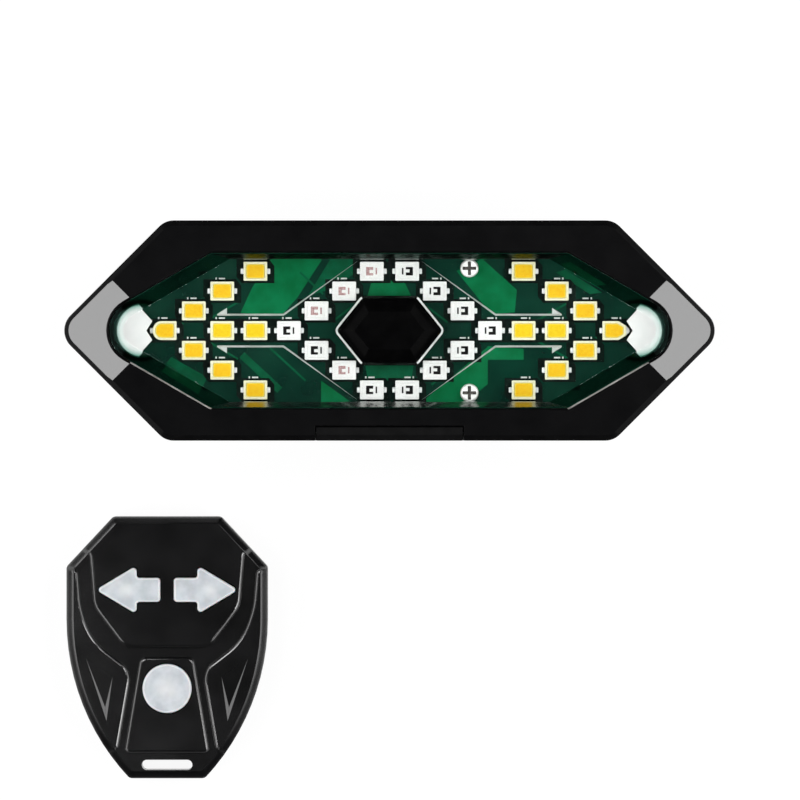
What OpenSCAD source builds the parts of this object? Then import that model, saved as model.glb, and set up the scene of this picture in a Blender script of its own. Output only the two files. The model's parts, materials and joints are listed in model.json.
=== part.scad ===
// Bicycle turn signal set: a rear lamp on its seat-post bracket, and the hand remote that works it.
// Both lie face up on a table at Z = 0. X runs along the lamp, +Y is up when the lamp is on the bicycle,
// and +Z is the way that the lamp shines. Sizes are in millimetres.

/* [Lamp body] */
// Length of the lamp from tip to tip
lamp_len = 96; // [88:0.5:106]
// Width of the lamp across its long edges
lamp_w = 32.5; // [31:0.25:36]
// Angle between the end edges and the length of the lamp
end_angle = 45; // [42:0.5:47]
// Rounding of the two tips
tip_r = 3.2; // [2.8:0.1:5]
// Rounding of the four shoulders
shoulder_r = 3; // [2.8:0.1:6]
// Thickness of the side walls
wall = 2.2; // [1.9:0.05:2.4]
// Thickness of the back of the rear housing
back_t = 2; // [1.6:0.1:2.4]
// Depth of the front bezel, from the parting line to the front
bezel_depth = 5.6; // [5:0.1:6.5]
// Thickness of the bezel's front plate
bezel_t = 2.4; // [1.8:0.1:2.8]
// Width of the bevel along the bezel's front edge
edge_bevel = 0.8; // [0.4:0.05:1.2]
// Height of that bevel
edge_bevel_h = 0.6; // [0.3:0.05:0.9]
// Length of the sloping facets at the tips, measured along the end edges
facet_len = 11.2; // [9:0.1:13]
// Slope of the tip facets
facet_angle = 7; // [4:0.5:9]

/* [Window and lens] */
// Width of the bezel beyond the window's tips
frame_end = 6.55; // [6:0.05:7.2]
// Width of the bezel along the window's long edges
frame_side = 4.8; // [4.4:0.05:5.2]
// Angle between the window's end edges and its length
window_angle = 30; // [29:0.5:32]
// Rounding of the window's two tips
window_tip_r = 4.7; // [4:0.1:5.2]
// Rounding of the window's four shoulders
window_shoulder_r = 1.2; // [0.6:0.1:3]
// Clearance between the lens and the window
lens_gap = 0.15; // [0.1:0.05:0.3]
// Height that the lens stands proud of the bezel
lens_proud = 0.6; // [0.2:0.1:1.5]
// Width of the bevel at the lens's pointed ends
lens_bevel = 2; // [1.2:0.1:2.4]
// Width of the bevel along the lens's long edges
lens_edge_bevel = 0.75; // [0.4:0.05:1.2]
// Height of the bevel round the lens
lens_bevel_h = 1.1; // [0.6:0.1:1.6]
// How far the lens flange reaches behind the bezel
flange_reach = 1.2; // [0.9:0.1:1.3]
// Thickness of the lens flange
flange_t = 1.2; // [0.8:0.1:1.6]
// Thickness of the seal between the flange and the bezel
lens_seal_t = 0.4; // [0.3:0.05:0.6]
// Height of the prism pads on the inside of the lens
lens_pad_t = 0.7; // [0.3:0.05:0.9]
// Half the width of the arrow shafts between the prism pads
shaft_half = 2.2; // [1.9:0.1:2.6]
// Reach of the prism pads past the third LED column of the signals
pad_out = 1.1; // [0.5:0.1:2]
// Distance of the prism pads from the outermost brake LED's middle
pad_in = 0.75; // [0.3:0.05:1.5]
// Slope of the prism pads' outer edges
pad_out_angle = 32.5; // [31:0.5:36]
// Slope of the prism pads' inner edges
pad_in_angle = 36.5; // [34:0.5:40]
// Distance of the prism pads from the window's long edges
pad_edge_gap = 1; // [0.5:0.1:2]

/* [Power button] */
// Length of the button from point to point
button_len = 15; // [14:0.1:15.6]
// Width of the button across its flats
button_w = 9; // [8.6:0.1:9.4]
// Length of the button's two flat edges
button_flat = 7.8; // [7:0.1:8.4]
// Rounding of the button's corners
button_r = 0.4; // [0.2:0.05:1]
// Width of the slope round the button's top
button_slope = 1.7; // [1:0.1:2.2]
// Height of that slope
button_slope_h = 0.8; // [0.4:0.05:1]
// Height of the button's top below the lens
button_sunk = 0.5; // [0.2:0.05:0.8]
// Travel of the button
button_travel = 0.3; // [0.2:0.05:0.35]
// Clearance round the button
button_gap = 0.25; // [0.15:0.05:0.35]
// Side of the square tact switch
switch_side = 6; // [5:0.1:6]
// Height of the tact switch body
switch_t = 0.8; // [0.7:0.05:0.9]
// Radius of the tact switch plunger
plunger_r = 1.6; // [1.2:0.1:1.8]

/* [LED board] */
// Thickness of the LED board
board_t = 1.2; // [0.8:0.1:1.6]
// Height of the two spacer strips between the board and the lens
spacer_h = 2.4; // [2.2:0.1:3]
// Distance of the board's ends from the window's tips
board_back = 3.05; // [2.8:0.05:3.4]
// Length of an LED package without its leads
led_len = 3.5; // [3.2:0.1:3.6]
// Width of an LED package
led_w = 2.8; // [2.4:0.1:2.9]
// Height of an LED package
led_t = 1.1; // [0.8:0.05:1.2]
// Distance of the outermost LED rows from the window's long edges
led_edge = 2.69; // [2.5:0.01:2.9]
// Distance of the signal arrow's tip LED from the end of the board
signal_back = 5.2; // [5:0.05:5.4]
// Steps along the lamp between the signal arrow's LED columns
signal_steps = [4.3, 4.2, 4.9]; // [3.9:0.1:5]
// Step from the signal's last LED column to the outermost brake LED
brake_back = 4.95; // [4.6:0.05:5.2]
// Distance of the innermost brake LEDs from the middle
brake_inner_x = 2.61; // [2.3:0.01:3]

/* [Power] */
// Clearance between the battery cell's end and the screw bosses
cell_end_gap = 2; // [0.5:0.1:9]
// Width of the battery cell
cell_w = 24; // [16:0.5:26]
// Thickness of the battery cell
cell_t = 5; // [4:0.1:5.2]
// Clearance between the battery cell and the charging socket over it
cell_gap = 0.6; // [0.3:0.05:6]
// Thickness of the adhesive pad under the cell
tape_t = 0.3; // [0.2:0.05:0.5]
// Width of the charging socket
port_w = 8.94; // [8.9:0.01:9]
// Height of the charging socket
port_h = 3.2; // [3.1:0.02:3.3]
// Length of the charging socket
port_len = 7.3; // [6.5:0.1:8]
// Width of the rubber flap over the socket
flap_w = 21.6; // [18:0.2:24]
// Thickness of the flap
flap_t = 1.1; // [0.9:0.05:1.2]
// Reach of the flap's lip over the front of the bezel
flap_lip = 2; // [1.6:0.1:2.4]
// Clearance round the flap
flap_gap = 0.2; // [0.15:0.05:0.3]
// Radius of the bead that the flap turns on
bead_r = 0.8; // [0.7:0.05:0.85]

/* [Bracket] */
// Diameter of the seat post that the saddle fits
post_d = 27.2; // [25.4:0.1:28.6]
// Arc of the post that the saddle covers
saddle_angle = 128; // [124:1:134]
// Length of the saddle along the post
saddle_len = 26; // [24:0.5:28]
// Thickness of the rubber pad in the saddle
pad_t = 1.2; // [0.8:0.1:1.4]
// Thickness of the bracket over the pad
web_t = 2.2; // [1.8:0.1:3]
// Width of the bracket's two feet
foot_w = 1.6; // [1.2:0.1:2]
// Width of the tongue's head
tongue_w = 18; // [16:0.2:19]
// Width of the tongue's neck
neck_w = 12; // [9:0.2:13]
// Thickness of the tongue's head
tongue_t = 1.8; // [1.4:0.1:2.2]
// Length of the tongue
tongue_len = 24; // [20:0.5:25]
// Thickness of the rails' lips
lip_t = 1.6; // [1.2:0.1:2]
// Thickness of the rails' side walls
rail_wall = 2; // [1.6:0.1:3]
// Running clearance between the tongue and the rails
slide_gap = 0.25; // [0.15:0.05:0.35]

/* [Remote] */
// Room between the battery door's lugs and the remote's side walls
remote_room = 0.95; // [0.7:0.05:2]
// Length of the remote
remote_len = 38.9; // [38:0.1:43]
// Width of the remote's straight top edge
remote_top_w = 16; // [15.4:0.1:17]
// Drop from the top edge to the shoulders
remote_drop = 7.45; // [7:0.05:7.8]
// Distance from the top edge to where the sides begin to curve in
remote_side = 15.3; // [14.5:0.1:16]
// Width of the remote's straight bottom edge
remote_foot_w = 11.2; // [10:0.1:14]
// Rounding of the remote's corners
remote_corner_r = 0.9; // [0.5:0.1:1.6]
// Thickness of the remote's walls
remote_wall = 1.6; // [1.3:0.05:1.8]
// Height of the remote's bottom shell
remote_low_h = 4.4; // [4.2:0.1:5]
// Thickness of the bottom shell's floor
remote_floor = 1.4; // [1.2:0.1:1.8]
// Thickness of the top shell's face, measured in its grooves
remote_face = 1.4; // [1:0.1:2]
// Width of the bevel round the top shell
remote_bevel = 1.05; // [0.6:0.05:1.3]
// Height of that bevel
remote_bevel_h = 1; // [0.6:0.05:1.4]
// Bevel round the bottom shell's back edge
remote_back_bevel = 0.8; // [0.4:0.05:1]
// Height of the panels between the grooves
panel_t = 0.7; // [0.4:0.05:1]
// Length of the lanyard slot
lanyard_len = 7.5; // [6:0.1:8]
// Width of the lanyard slot
lanyard_w = 1.5; // [1.2:0.1:2]
// Distance from the lanyard slot's middle to the bottom edge
lanyard_inset = 2; // [1.8:0.1:2.4]

/* [Remote keys] */
// Length of the arrow keys
arrow_len = 9.1; // [8.6:0.1:9.4]
// Width of the arrow keys' heads
arrow_head_w = 6.7; // [6:0.1:7.2]
// Length of the arrow keys' heads
arrow_head_len = 5.6; // [5:0.1:6]
// Width of the arrow keys' shafts
arrow_shaft_w = 3.6; // [3:0.1:4]
// Gap between the two arrow keys
arrow_split = 2; // [1.6:0.1:2.6]
// Height of the arrow keys' middle above the remote's middle
arrow_y = 8.55; // [8.2:0.05:9]
// Diameter of the round mode key
mode_d = 7.3; // [6.6:0.1:7.4]
// Depth of the mode key's middle below the remote's middle
mode_y = 6.1; // [5.8:0.1:6.6]
// Height of the keys over the panels
key_proud = 0.4; // [0.2:0.05:0.8]
// Clearance round the keys
key_gap = 0.2; // [0.15:0.05:0.3]
// Travel of the keys
key_travel = 0.4; // [0.25:0.05:0.45]
// Thickness of the silicone sheet under the face
sheet_t = 0.5; // [0.4:0.05:0.7]

/* [Remote inside] */
// Thickness of the remote's circuit board
remote_board_t = 1; // [0.8:0.1:1.2]
// Side of the remote's tact switches
key_switch_side = 4.5; // [4:0.1:5]
// Height of the remote's tact switches
key_switch_t = 1; // [0.8:0.05:1.2]
// Radius of the plungers under the keys
key_plunger_r = 1; // [0.8:0.05:1.2]
// Diameter of the coin cell
coin_d = 20; // [18:0.1:20]
// Thickness of the coin cell
coin_t = 3.2; // [2.5:0.05:3.2]
// Width of the battery door's rim round the coin cell
door_rim = 1.2; // [0.8:0.1:1.4]
// Distance of the battery door from the remote's top edge
door_back = 4.25; // [4:0.05:4.6]
// Clearance round the battery door
door_gap = 0.2; // [0.15:0.05:0.3]

/* [Layout] */
// Gap between the lamp and the remote as they lie
set_gap = 11.3; // [8:0.1:30]

/* [Hidden] */
$fn = 48;
arc_steps = 6;    // straight steps in each rounded corner of an outline
tip_steps = 12;   // straight steps in the wide round tips
least_r = 0.15;   // least radius of a rounded corner
remote_least_r = 0.5;
eps = 0.01;       // overlap between a cutter and what it cuts, and between fused shapes
fit_gap = 0.03;   // clearance of a screw or plunger in its own hole
rest_gap = 0.1;   // clearance between pieces that seat on each other
touch_gap = 0.05; // clearance between pieces that touch on a curve

// The window and the depth of what the lamp holds
window_len = lamp_len - 2 * frame_end;
window_w = lamp_w - 2 * frame_side;
board_half = window_len / 2 - board_back;
behind_board = back_t + tape_t + cell_t + cell_gap + port_h;
before_board = spacer_h + flange_t + lens_seal_t + bezel_t;
lamp_depth = behind_board + board_t + before_board;

// Heights in the lamp, from the table up
post_r = post_d / 2;
axis_z = -post_r * cos(saddle_angle / 2);
pad_seat_r = post_r + pad_t;
base_top = axis_z + pad_seat_r + web_t;
lip_z = base_top + slide_gap;
tongue_z = lip_z + lip_t + slide_gap;
z_back = tongue_z + tongue_t + slide_gap;
z_front = z_back + lamp_depth;
z_split = z_front - bezel_depth;
z_floor = z_back + back_t;
z_plate = z_front - bezel_t;
flange_top = z_plate - lens_seal_t;
flange_low = flange_top - flange_t;
board_top = flange_low - spacer_h;
board_low = board_top - board_t;
lens_top = z_front + lens_proud;

// Screws that close the lamp, and the bosses that take them
screw_r = 1;
screw_head_r = 2;
screw_head_t = 1.3;
screw_hole_r = 1.2;
head_gap = 0.2;
head_sink = 0.7;
boss_r = 1.7;
boss_wide_r = 3.2;
boss_inset = 4.05;       // from the long edge to a screw's axis
boss_gap = 0.3;          // clearance between a boss and the lens flange
boss_h = 6.5;
boss_cap = 0.8;          // plastic left over a screw hole in the bezel
tip_room = 1.5;          // room past a screw's tip
screw_y = lamp_w / 2 - boss_inset;
boss_off = screw_y * cos(window_angle) - flange_reach - boss_r - boss_gap;
screw_x = sharp_x(window_len, window_angle, window_tip_r) - boss_off / sin(window_angle);
boss_top = z_floor + boss_h;
screw_z = z_back + head_sink + screw_head_t;
screw_len = z_plate - boss_cap - tip_room - screw_z;

// Columns and rows of the LEDs
led_row = (window_w / 2 - led_edge) / 3;
signal_tip_x = board_half - signal_back;
signal_x = [signal_tip_x, signal_tip_x - signal_steps[0], signal_tip_x - signal_steps[0] - signal_steps[1],
    signal_tip_x - signal_steps[0] - signal_steps[1] - signal_steps[2]];
brake_tip_x = signal_x[3] - brake_back;
brake_step = (brake_tip_x - brake_inner_x) / 3;

// Screws that hold the LED board, and the standoffs under it
board_screw_x = brake_tip_x - 3.05;
board_screw_y = window_w / 2 - 2.25;
board_screw_r = 0.8;
board_screw_head_r = 1.35;
board_screw_head_t = 0.9;
board_screw_len = 5;
standoff_r = 2.1;
rest_r = 1.5;
rest_x = board_half - 7.4;
rest_y = 4.5;

// Charging socket and its flap at the lower edge
edge_y = -lamp_w / 2;
port_z = board_low - port_h / 2;
port_reach = 0.25;       // how far the socket's mouth reaches into the wall
port_mouth_y = edge_y + wall - port_reach;
port_shell_t = 0.3;
port_back_t = 1;
bead_y = edge_y + bead_r;
bead_drop = 2.9;         // from the socket down to the bead's axis
bead_z = port_z - port_h / 2 - bead_drop;
recess_w = flap_w + 2 * flap_gap;
recess_d = flap_t + rest_gap;
swing_gap = 0.3;         // room below the bead for the flap to swing down
recess_low = bead_z - bead_r - swing_gap;
plug_gap = 0.1;
plug_w = port_w - 2 * plug_gap;
plug_h = port_h - 2 * plug_gap;
plug_len = 0.7;
port_hole_gap = 0.25;

// Heights in the remote
door_rise = 0.15;        // height of the door's inner face over the floor
cell_low = remote_floor + door_rise + rest_gap;
cell_top = cell_low + coin_t;
spring_h = 0.5;
remote_board_low = cell_top + spring_h;
remote_board_top = remote_board_low + remote_board_t;
key_plunger_h = 0.5;
key_low = remote_board_top + key_switch_t + key_plunger_h;
sheet_low = key_low + rest_gap;
face_low = sheet_low + sheet_t;
face_top = face_low + remote_face;
panel_top = face_top + panel_t;
key_top = panel_top + key_proud;

// The battery door with its two lugs, and how far they turn to unlock
coin_gap = 0.3;          // clearance round the coin cell
door_r = coin_d / 2 + door_rim;
coin_y = remote_len / 2 - door_back - door_r;
lug_out = door_r + 1.2;
lug_w = 2.6;
lug_t = 0.7;
lug_z = remote_floor + rest_gap;
lug_angle = -20;
lug_turn = 45;

// Places of the lamp and the remote, with the set's box centred on the origin
remote_w = 2 * (lug_out + remote_room + remote_wall);
set_len = lamp_w + set_gap + remote_len;
lamp_y = (set_len - lamp_w) / 2;
remote_y = -(set_len - remote_len) / 2;
remote_x = -(lamp_len - remote_w) / 2;

black = [0.03, 0.03, 0.032];
white = [0.93, 0.93, 0.9];
steel = [0.72, 0.73, 0.75];

// Outlines

function unit(v) = v / norm(v);

// Points of the arc that rounds corner b, between a and c, with radius r
function corner(a, b, c, r, steps = arc_steps) =
    let (u = unit(a - b), v = unit(c - b), half = acos(u * v) / 2)
    let (m = b + unit(u + v) * r / sin(half), s = b + u * r / tan(half) - m, e = b + v * r / tan(half) - m)
    let (start = atan2(s.y, s.x), d = atan2(e.y, e.x) - start)
    let (step = (d > 180 ? d - 360 : d < -180 ? d + 360 : d) / steps)
    [for (i = [0 : steps]) m + r * [cos(start + step * i), sin(start + step * i)]];

// A closed outline through the points p, with a radius for each corner
function rounded(p, r) =
    let (n = len(p))
    [for (i = [0 : n - 1]) each corner(p[(i + n - 1) % n], p[i], p[(i + 1) % n], is_list(r) ? r[i] : r)];

// A closed outline through the six points p of a hexagon, with a radius for its two tips and its four shoulders
function pointed(p, tip, shoulder) =
    [for (i = [0 : 5])
        let (is_tip = i % 3 == 0, r = is_tip ? tip : shoulder, steps = is_tip ? tip_steps : arc_steps)
        each corner(p[(i + 5) % 6], p[i], p[(i + 1) % 6], r, steps)];

// The outline p, which runs anticlockwise, moved inwards by d
function inset(p, d) =
    let (n = len(p))
    [for (i = [0 : n - 1])
        let (e = unit(p[i] - p[(i + n - 1) % n]), f = unit(p[(i + 1) % n] - p[i]))
        let (s = [e.y, -e.x], t = [f.y, -f.x])
        p[i] - (s + t) * d / (1 + s * t)];

function mirrored(p) = [for (i = [len(p) - 1 : -1 : 0]) [-p[i].x, p[i].y]];

// Where the long edges of a pointed hexagon end
function sharp_x(length, angle, r) = length / 2 + r * (1 / sin(angle) - 1);
function shoulder_x(length, width, angle, r) = sharp_x(length, angle, r) - width / 2 / tan(angle);

// A hexagon with its points along X: length over the rounded tips, width, the end edges' angle, the rounding
// of tips and shoulders, and how far the whole outline is moved inwards
function hexagon(length, width, angle, tip, shoulder, d) =
    let (x = sharp_x(length, angle, tip), k = shoulder_x(length, width, angle, tip), h = width / 2)
    let (p = inset([[x, 0], [k, h], [-k, h], [-x, 0], [-k, -h], [k, -h]], d))
    pointed(p, max(tip - d, least_r), max(shoulder - d, least_r));

function body(d) = hexagon(lamp_len, lamp_w, end_angle, tip_r, shoulder_r, d);
function window(d) = hexagon(window_len, window_w, window_angle, window_tip_r, window_shoulder_r, d);

function button_outline(d) =
    let (x = button_len / 2, k = button_flat / 2, h = button_w / 2)
    rounded(inset([[x, 0], [k, h], [-k, h], [-x, 0], [-k, -h], [k, -h]], d), max(button_r - d, least_r));

// The lens's flat face: the window with the bevel taken off, which is wider at the ends than along the edges
function lens_face_outline() =
    let (end = lens_gap + lens_bevel, edge = lens_gap + lens_edge_bevel, h = window_w / 2 - edge)
    let (x = sharp_x(window_len, window_angle, window_tip_r) - end / sin(window_angle))
    let (k = x - h / tan(window_angle), p = [[x, 0], [k, h], [-k, h], [-x, 0], [-k, -h], [k, -h]])
    pointed(p, max(window_tip_r - end, least_r), max(window_shoulder_r - edge, least_r));

// One of the four clear pads behind the lens, in the quarter where x and y are positive
function lens_pad_outline() =
    let (edge = window_w / 2 - pad_edge_gap, rise = edge - shaft_half)
    let (out = signal_x[2] + pad_out, in = brake_tip_x + pad_in)
    let (out_top = out - rise / tan(pad_out_angle), in_top = in - rise / tan(pad_in_angle))
    rounded([[in, shaft_half], [out, shaft_half], [out_top, edge], [in_top, edge]], least_r);

// The remote's outline: a straight top, cut corners, upright shoulders and sides that curve in to the bottom
remote_half = [remote_w / 2, remote_len / 2];
side_y = remote_half.y - remote_side;
side_in = remote_half.x - remote_foot_w / 2;
remote_side_r = (pow(side_in, 2) + pow(remote_half.y + side_y, 2)) / (2 * side_in);
side_x = remote_half.x - remote_side_r;

// That outline moved inwards by d
function remote_outline(d) =
    let (h = remote_half - [d, d], r = max(remote_corner_r - d, remote_least_r), steps = 12)
    let (cut = [remote_drop, remote_half.x - remote_top_w / 2], n = unit(cut))
    let (c = n * [remote_half.x, remote_half.y - remote_drop] - d)
    let (knee = [h.x, (c - n.x * h.x) / n.y], peak = [(c - n.y * h.y) / n.x, h.y])
    let (side_r = remote_side_r - d, step = asin((h.y + side_y) / side_r) / steps)
    let (side = [for (i = [0 : steps]) [side_x, side_y] + side_r * [cos(step * i), -sin(step * i)]])
    let (foot = corner(side[steps - 1], side[steps], [-side[steps].x, -h.y], r))
    let (right = concat(
        [for (i = [len(foot) - 1 : -1 : 0]) foot[i]],
        [for (i = [steps - 1 : -1 : 0]) side[i]],
        corner([h.x, side_y], knee, peak, r),
        corner(knee, peak, [-peak.x, h.y], r)))
    concat(right, mirrored(right));

// Shapes that several pieces share

// A closed solid through rings of equally many points, at the given heights
module loft(rings, heights) {
    n = len(rings[0]);
    last = (len(rings) - 1) * n;
    polyhedron(
        points = [for (k = [0 : len(rings) - 1]) each [for (q = rings[k]) [q.x, q.y, heights[k]]]],
        faces = concat(
            [[for (i = [0 : n - 1]) i]],
            [[for (i = [n - 1 : -1 : 0]) last + i]],
            [for (k = [0 : len(rings) - 2]) for (i = [0 : n - 1])
                [k * n + i, (k + 1) * n + i, (k + 1) * n + (i + 1) % n]],
            [for (k = [0 : len(rings) - 2]) for (i = [0 : n - 1])
                [k * n + i, (k + 1) * n + (i + 1) % n, k * n + (i + 1) % n]]
        )
    );
}

module slab(outline, low, high) {
    translate([0, 0, low]) linear_extrude(high - low) polygon(outline);
}

module rod(r, low, high) {
    translate([0, 0, low]) cylinder(r = r, h = high - low);
}

module block(size, low) {
    translate([-size.x / 2, -size.y / 2, low]) cube(size);
}

module rod_x(r, length) {
    rotate([0, 90, 0]) cylinder(r = r, h = length, center = true);
}

module in_corners(x, y) {
    for (s = [-1, 1], t = [-1, 1]) translate([s * x, t * y, 0]) children();
}

module in_quarters() {
    for (s = [0, 1], t = [0, 1]) mirror([s, 0, 0]) mirror([0, t, 0]) children();
}

// A screw with its tip up and its head below, its shank starting at height z
module screw(r, length, head_r, head_t, z) {
    slot_w = head_r * 0.35;
    rod(r, z - eps, z + length);
    difference() {
        rod(head_r, z - head_t, z);
        block([head_r * 1.5, slot_w, head_t * 0.45 + eps], z - head_t - eps);
        block([slot_w, head_r * 1.5, head_t * 0.45 + eps], z - head_t - eps);
    }
}

module at_board_screws() {
    for (s = [-1, 1]) translate([board_screw_x, s * board_screw_y, 0]) children();
}

module lamp_at() { translate([0, lamp_y, 0]) children(); }
module remote_at() { translate([remote_x, remote_y, 0]) children(); }

// The lamp

// The room that the flap's plate, lip and bead take out of both shells
module flap_room() {
    translate([-recess_w / 2, edge_y - eps, recess_low]) cube([recess_w, recess_d + eps, lens_top]);
    translate([-recess_w / 2, edge_y - eps, z_front - flap_t - rest_gap])
        cube([recess_w, flap_lip + flap_gap + eps, lens_top]);
    translate([0, bead_y, bead_z]) rod_x(bead_r + rest_gap, recess_w);
}

// The wedges cut off the bezel's tips, which leave the sloping facets
module facet_cuts() {
    reach = 2 * facet_len;
    x = sharp_x(lamp_len, end_angle, tip_r);
    in_quarters() intersection() {
        translate([x, 0, z_front]) rotate([0, 0, -end_angle]) translate([-facet_len, 0, 0])
            rotate([0, facet_angle, 0]) translate([0, -reach, 0]) cube([reach, 2 * reach, reach]);
        translate([0, 0, z_split]) cube([lamp_len, lamp_w, reach + bezel_depth]);
    }
}

module front_bezel() {
    color(black) lamp_at() {
        difference() {
            loft([body(0), body(0), body(edge_bevel)],
                [z_split, z_front - edge_bevel_h, z_front]);
            slab(body(wall), z_split - eps, z_plate);
            slab(window(0), z_split, lens_top);
            facet_cuts();
            flap_room();
        }
        difference() {
            intersection() {
                slab(body(wall + rest_gap), boss_top, z_plate + eps);
                in_corners(screw_x, screw_y) rod(boss_r, boss_top + rest_gap, z_plate + eps);
            }
            in_corners(screw_x, screw_y) rod(screw_r + fit_gap, boss_top, z_plate - boss_cap);
        }
    }
}

module rear_housing() {
    rail_x = tongue_w / 2 + slide_gap;
    stop_y = tongue_len / 2 + slide_gap;
    rail_len = tongue_len + slide_gap + rail_wall;
    rail_h = z_back - lip_z + eps;
    color(black) lamp_at() {
        difference() {
            union() {
                difference() {
                    slab(body(0), z_back, z_split);
                    slab(body(wall), z_floor, z_split + eps);
                }
                intersection() {
                    slab(body(wall / 2), z_back, z_split);
                    in_corners(screw_x, screw_y) {
                        rod(boss_wide_r, z_floor - eps, boss_top - 2);
                        rod(boss_r, z_floor - eps, boss_top);
                    }
                }
                in_corners(rest_x, rest_y) rod(rest_r, z_floor - eps, board_low);
                at_board_screws() rod(standoff_r, z_floor - eps, board_low);
                // the two rails that the bracket's tongue slides between, and the stop at their upper end
                for (s = [0, 1]) mirror([s, 0, 0]) {
                    translate([rail_x, -tongue_len / 2, lip_z]) cube([rail_wall, rail_len, rail_h]);
                    translate([neck_w / 2 + slide_gap, -tongue_len / 2, lip_z])
                        cube([rail_x - neck_w / 2, rail_len, lip_t]);
                }
                translate([-rail_x - eps, stop_y, lip_z]) cube([2 * (rail_x + eps), rail_wall, rail_h]);
            }
            in_corners(screw_x, screw_y) {
                rod(screw_head_r + head_gap, z_back - eps, screw_z);
                rod(screw_hole_r, z_back, boss_top + eps);
            }
            at_board_screws() rod(board_screw_r + fit_gap, board_low - board_screw_len, board_low + eps);
            seal_groove(0);
            flap_room();
            translate([0, edge_y + wall / 2, port_z])
                cube([port_w + 2 * port_hole_gap, 2 * wall, port_h + 2 * port_hole_gap], center = true);
        }
    }
}

// A square ring in the rim of the rear housing: the groove, or with a gap the cord that fills it
module seal_groove(gap) {
    seal_w = 0.8;
    seal_h = 0.8;
    side = (wall - seal_w) / 2;
    difference() {
        slab(body(side + gap), z_split - seal_h, z_split + (gap > 0 ? 0 : eps));
        slab(body(side + seal_w - gap), z_split - 2 * seal_h, z_split + seal_h);
    }
}

module housing_seal() {
    break_w = recess_w + 2 * rest_gap;
    color([0.12, 0.12, 0.12]) lamp_at() difference() {
        seal_groove(fit_gap);
        translate([-break_w / 2, edge_y, z_split - wall]) cube([break_w, wall, 2 * wall]);
    }
}

hide = 0.2;   // how far the seal and the spacers keep back behind the window's edge

module clear_lens() {
    plug = window(lens_gap);
    color([0.85, 0.95, 0.92, 0.35]) lamp_at() difference() {
        union() {
            loft([plug, plug, lens_face_outline()], [flange_low, lens_top - lens_bevel_h, lens_top]);
            slab(window(-flange_reach), flange_low, flange_top);
            in_quarters() slab(lens_pad_outline(), flange_low - lens_pad_t, flange_low + eps);
        }
        slab(button_outline(-button_gap), flange_low - 1, lens_top + 1);
    }
}

module lens_seal() {
    color([0.12, 0.12, 0.12]) lamp_at() difference() {
        slab(window(-flange_reach), flange_top, z_plate);
        slab(window(-hide), flange_top - 1, z_plate + 1);
    }
}

module lens_spacers() {
    color(black) lamp_at() difference() {
        slab(window(rest_gap - flange_reach), board_top, flange_low);
        slab(window(-hide), board_top - 1, flange_low + 1);
        for (s = [0, 1]) mirror([s, 0, 0])
            translate([board_half, -lamp_w / 2, board_top - 1]) cube([lamp_len, lamp_w, spacer_h + 2]);
    }
}

// White reflectors in the tips of the window: each is a plate beyond the tip LED, round at its outer end and
// with a V-shaped mouth, on a foot that stands on the board
module tip_reflectors() {
    low = board_top + led_t + rest_gap;
    high = flange_low - 0.2;
    led_end = signal_tip_x + led_len / 2;
    round_x = led_end + 1.35;
    round_r = 3.2;
    notch = [led_end + 0.95, 0];
    mouth = [led_end + 0.05, led_w / 2];
    corner_angle = 84;
    round_end = [for (a = [-corner_angle : corner_angle / 8 : corner_angle])
        [round_x + round_r * cos(a), round_r * sin(a)]];
    foot = [1.2, 4];
    color(white) lamp_at() for (s = [0, 1]) mirror([s, 0, 0]) {
        slab(concat([notch, [mouth.x, -mouth.y]], round_end, [mouth]), low, high);
        translate([notch.x + rest_gap + foot.x / 2, 0, 0])
            block([foot.x, foot.y, low - board_top + eps], board_top);
    }
}

module led_board() {
    color([0.02, 0.32, 0.14]) lamp_at() difference() {
        intersection() {
            slab(window(2 * rest_gap - flange_reach), board_low, board_top);
            block([2 * board_half, lamp_w, board_t], board_low);
        }
        at_board_screws() rod(board_screw_r + 0.2, board_low - 1, board_top + 1);
    }
}

// Places of the LEDs
signal_places = concat(
    [[signal_x[0], 0], [signal_x[2], 0], [signal_x[3], 0]],
    [for (i = [1 : 3], s = [-1, 1]) [signal_x[i], s * i * led_row]]
);
brake_places = concat(
    [for (s = [-1, 1]) [s * brake_tip_x, 0]],
    [for (i = [1 : 3], s = [-1, 1], t = [-1, 1]) [s * (brake_tip_x - i * brake_step), t * i * led_row]]
);
led_lead = [0.45, 0.8, 0.25];
led_frame = [0.45, 0.36];   // width of a package's rim at its ends and its sides
led_well = [led_len, led_w] - 2 * led_frame;
led_well_d = 0.5;

// White packages with a well in the top and a solder lead at each end
module led_packages(places) {
    for (p = places) translate([p.x, p.y, 0]) difference() {
        union() {
            block([led_len, led_w, led_t], board_top);
            block([led_len + 2 * led_lead.x, led_lead.y, led_lead.z], board_top);
        }
        block([led_well.x, led_well.y, led_well_d + eps], board_top + led_t - led_well_d);
    }
}

module led_fills(places, sunk) {
    for (p = places) translate([p.x, p.y, 0])
        block([led_well.x, led_well.y, led_well_d - sunk], board_top + led_t - led_well_d);
}

function flipped(places) = [for (p = places) [-p.x, p.y]];

module left_signal_leds() { color(white) lamp_at() led_packages(flipped(signal_places)); }
module left_signal_phosphors() { color([1, 0.72, 0.05]) lamp_at() led_fills(flipped(signal_places), 0.05); }
module right_signal_leds() { color(white) lamp_at() led_packages(signal_places); }
module right_signal_phosphors() { color([1, 0.72, 0.05]) lamp_at() led_fills(signal_places, 0.05); }
module brake_leds() { color(white) lamp_at() led_packages(brake_places); }

// The small red dies in the clear brake LEDs, each with its bond pad
module brake_led_dies() {
    die = [0.8, 0.9, 0.3];
    color([0.55, 0.12, 0.1]) lamp_at() for (p = brake_places) translate([p.x, p.y, 0]) {
        translate([0.3, 0, 0]) block(die, board_top + led_t - led_well_d);
        translate([-0.55, 0, 0]) block([0.25, die.y, die.z], board_top + led_t - led_well_d);
    }
}

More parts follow.
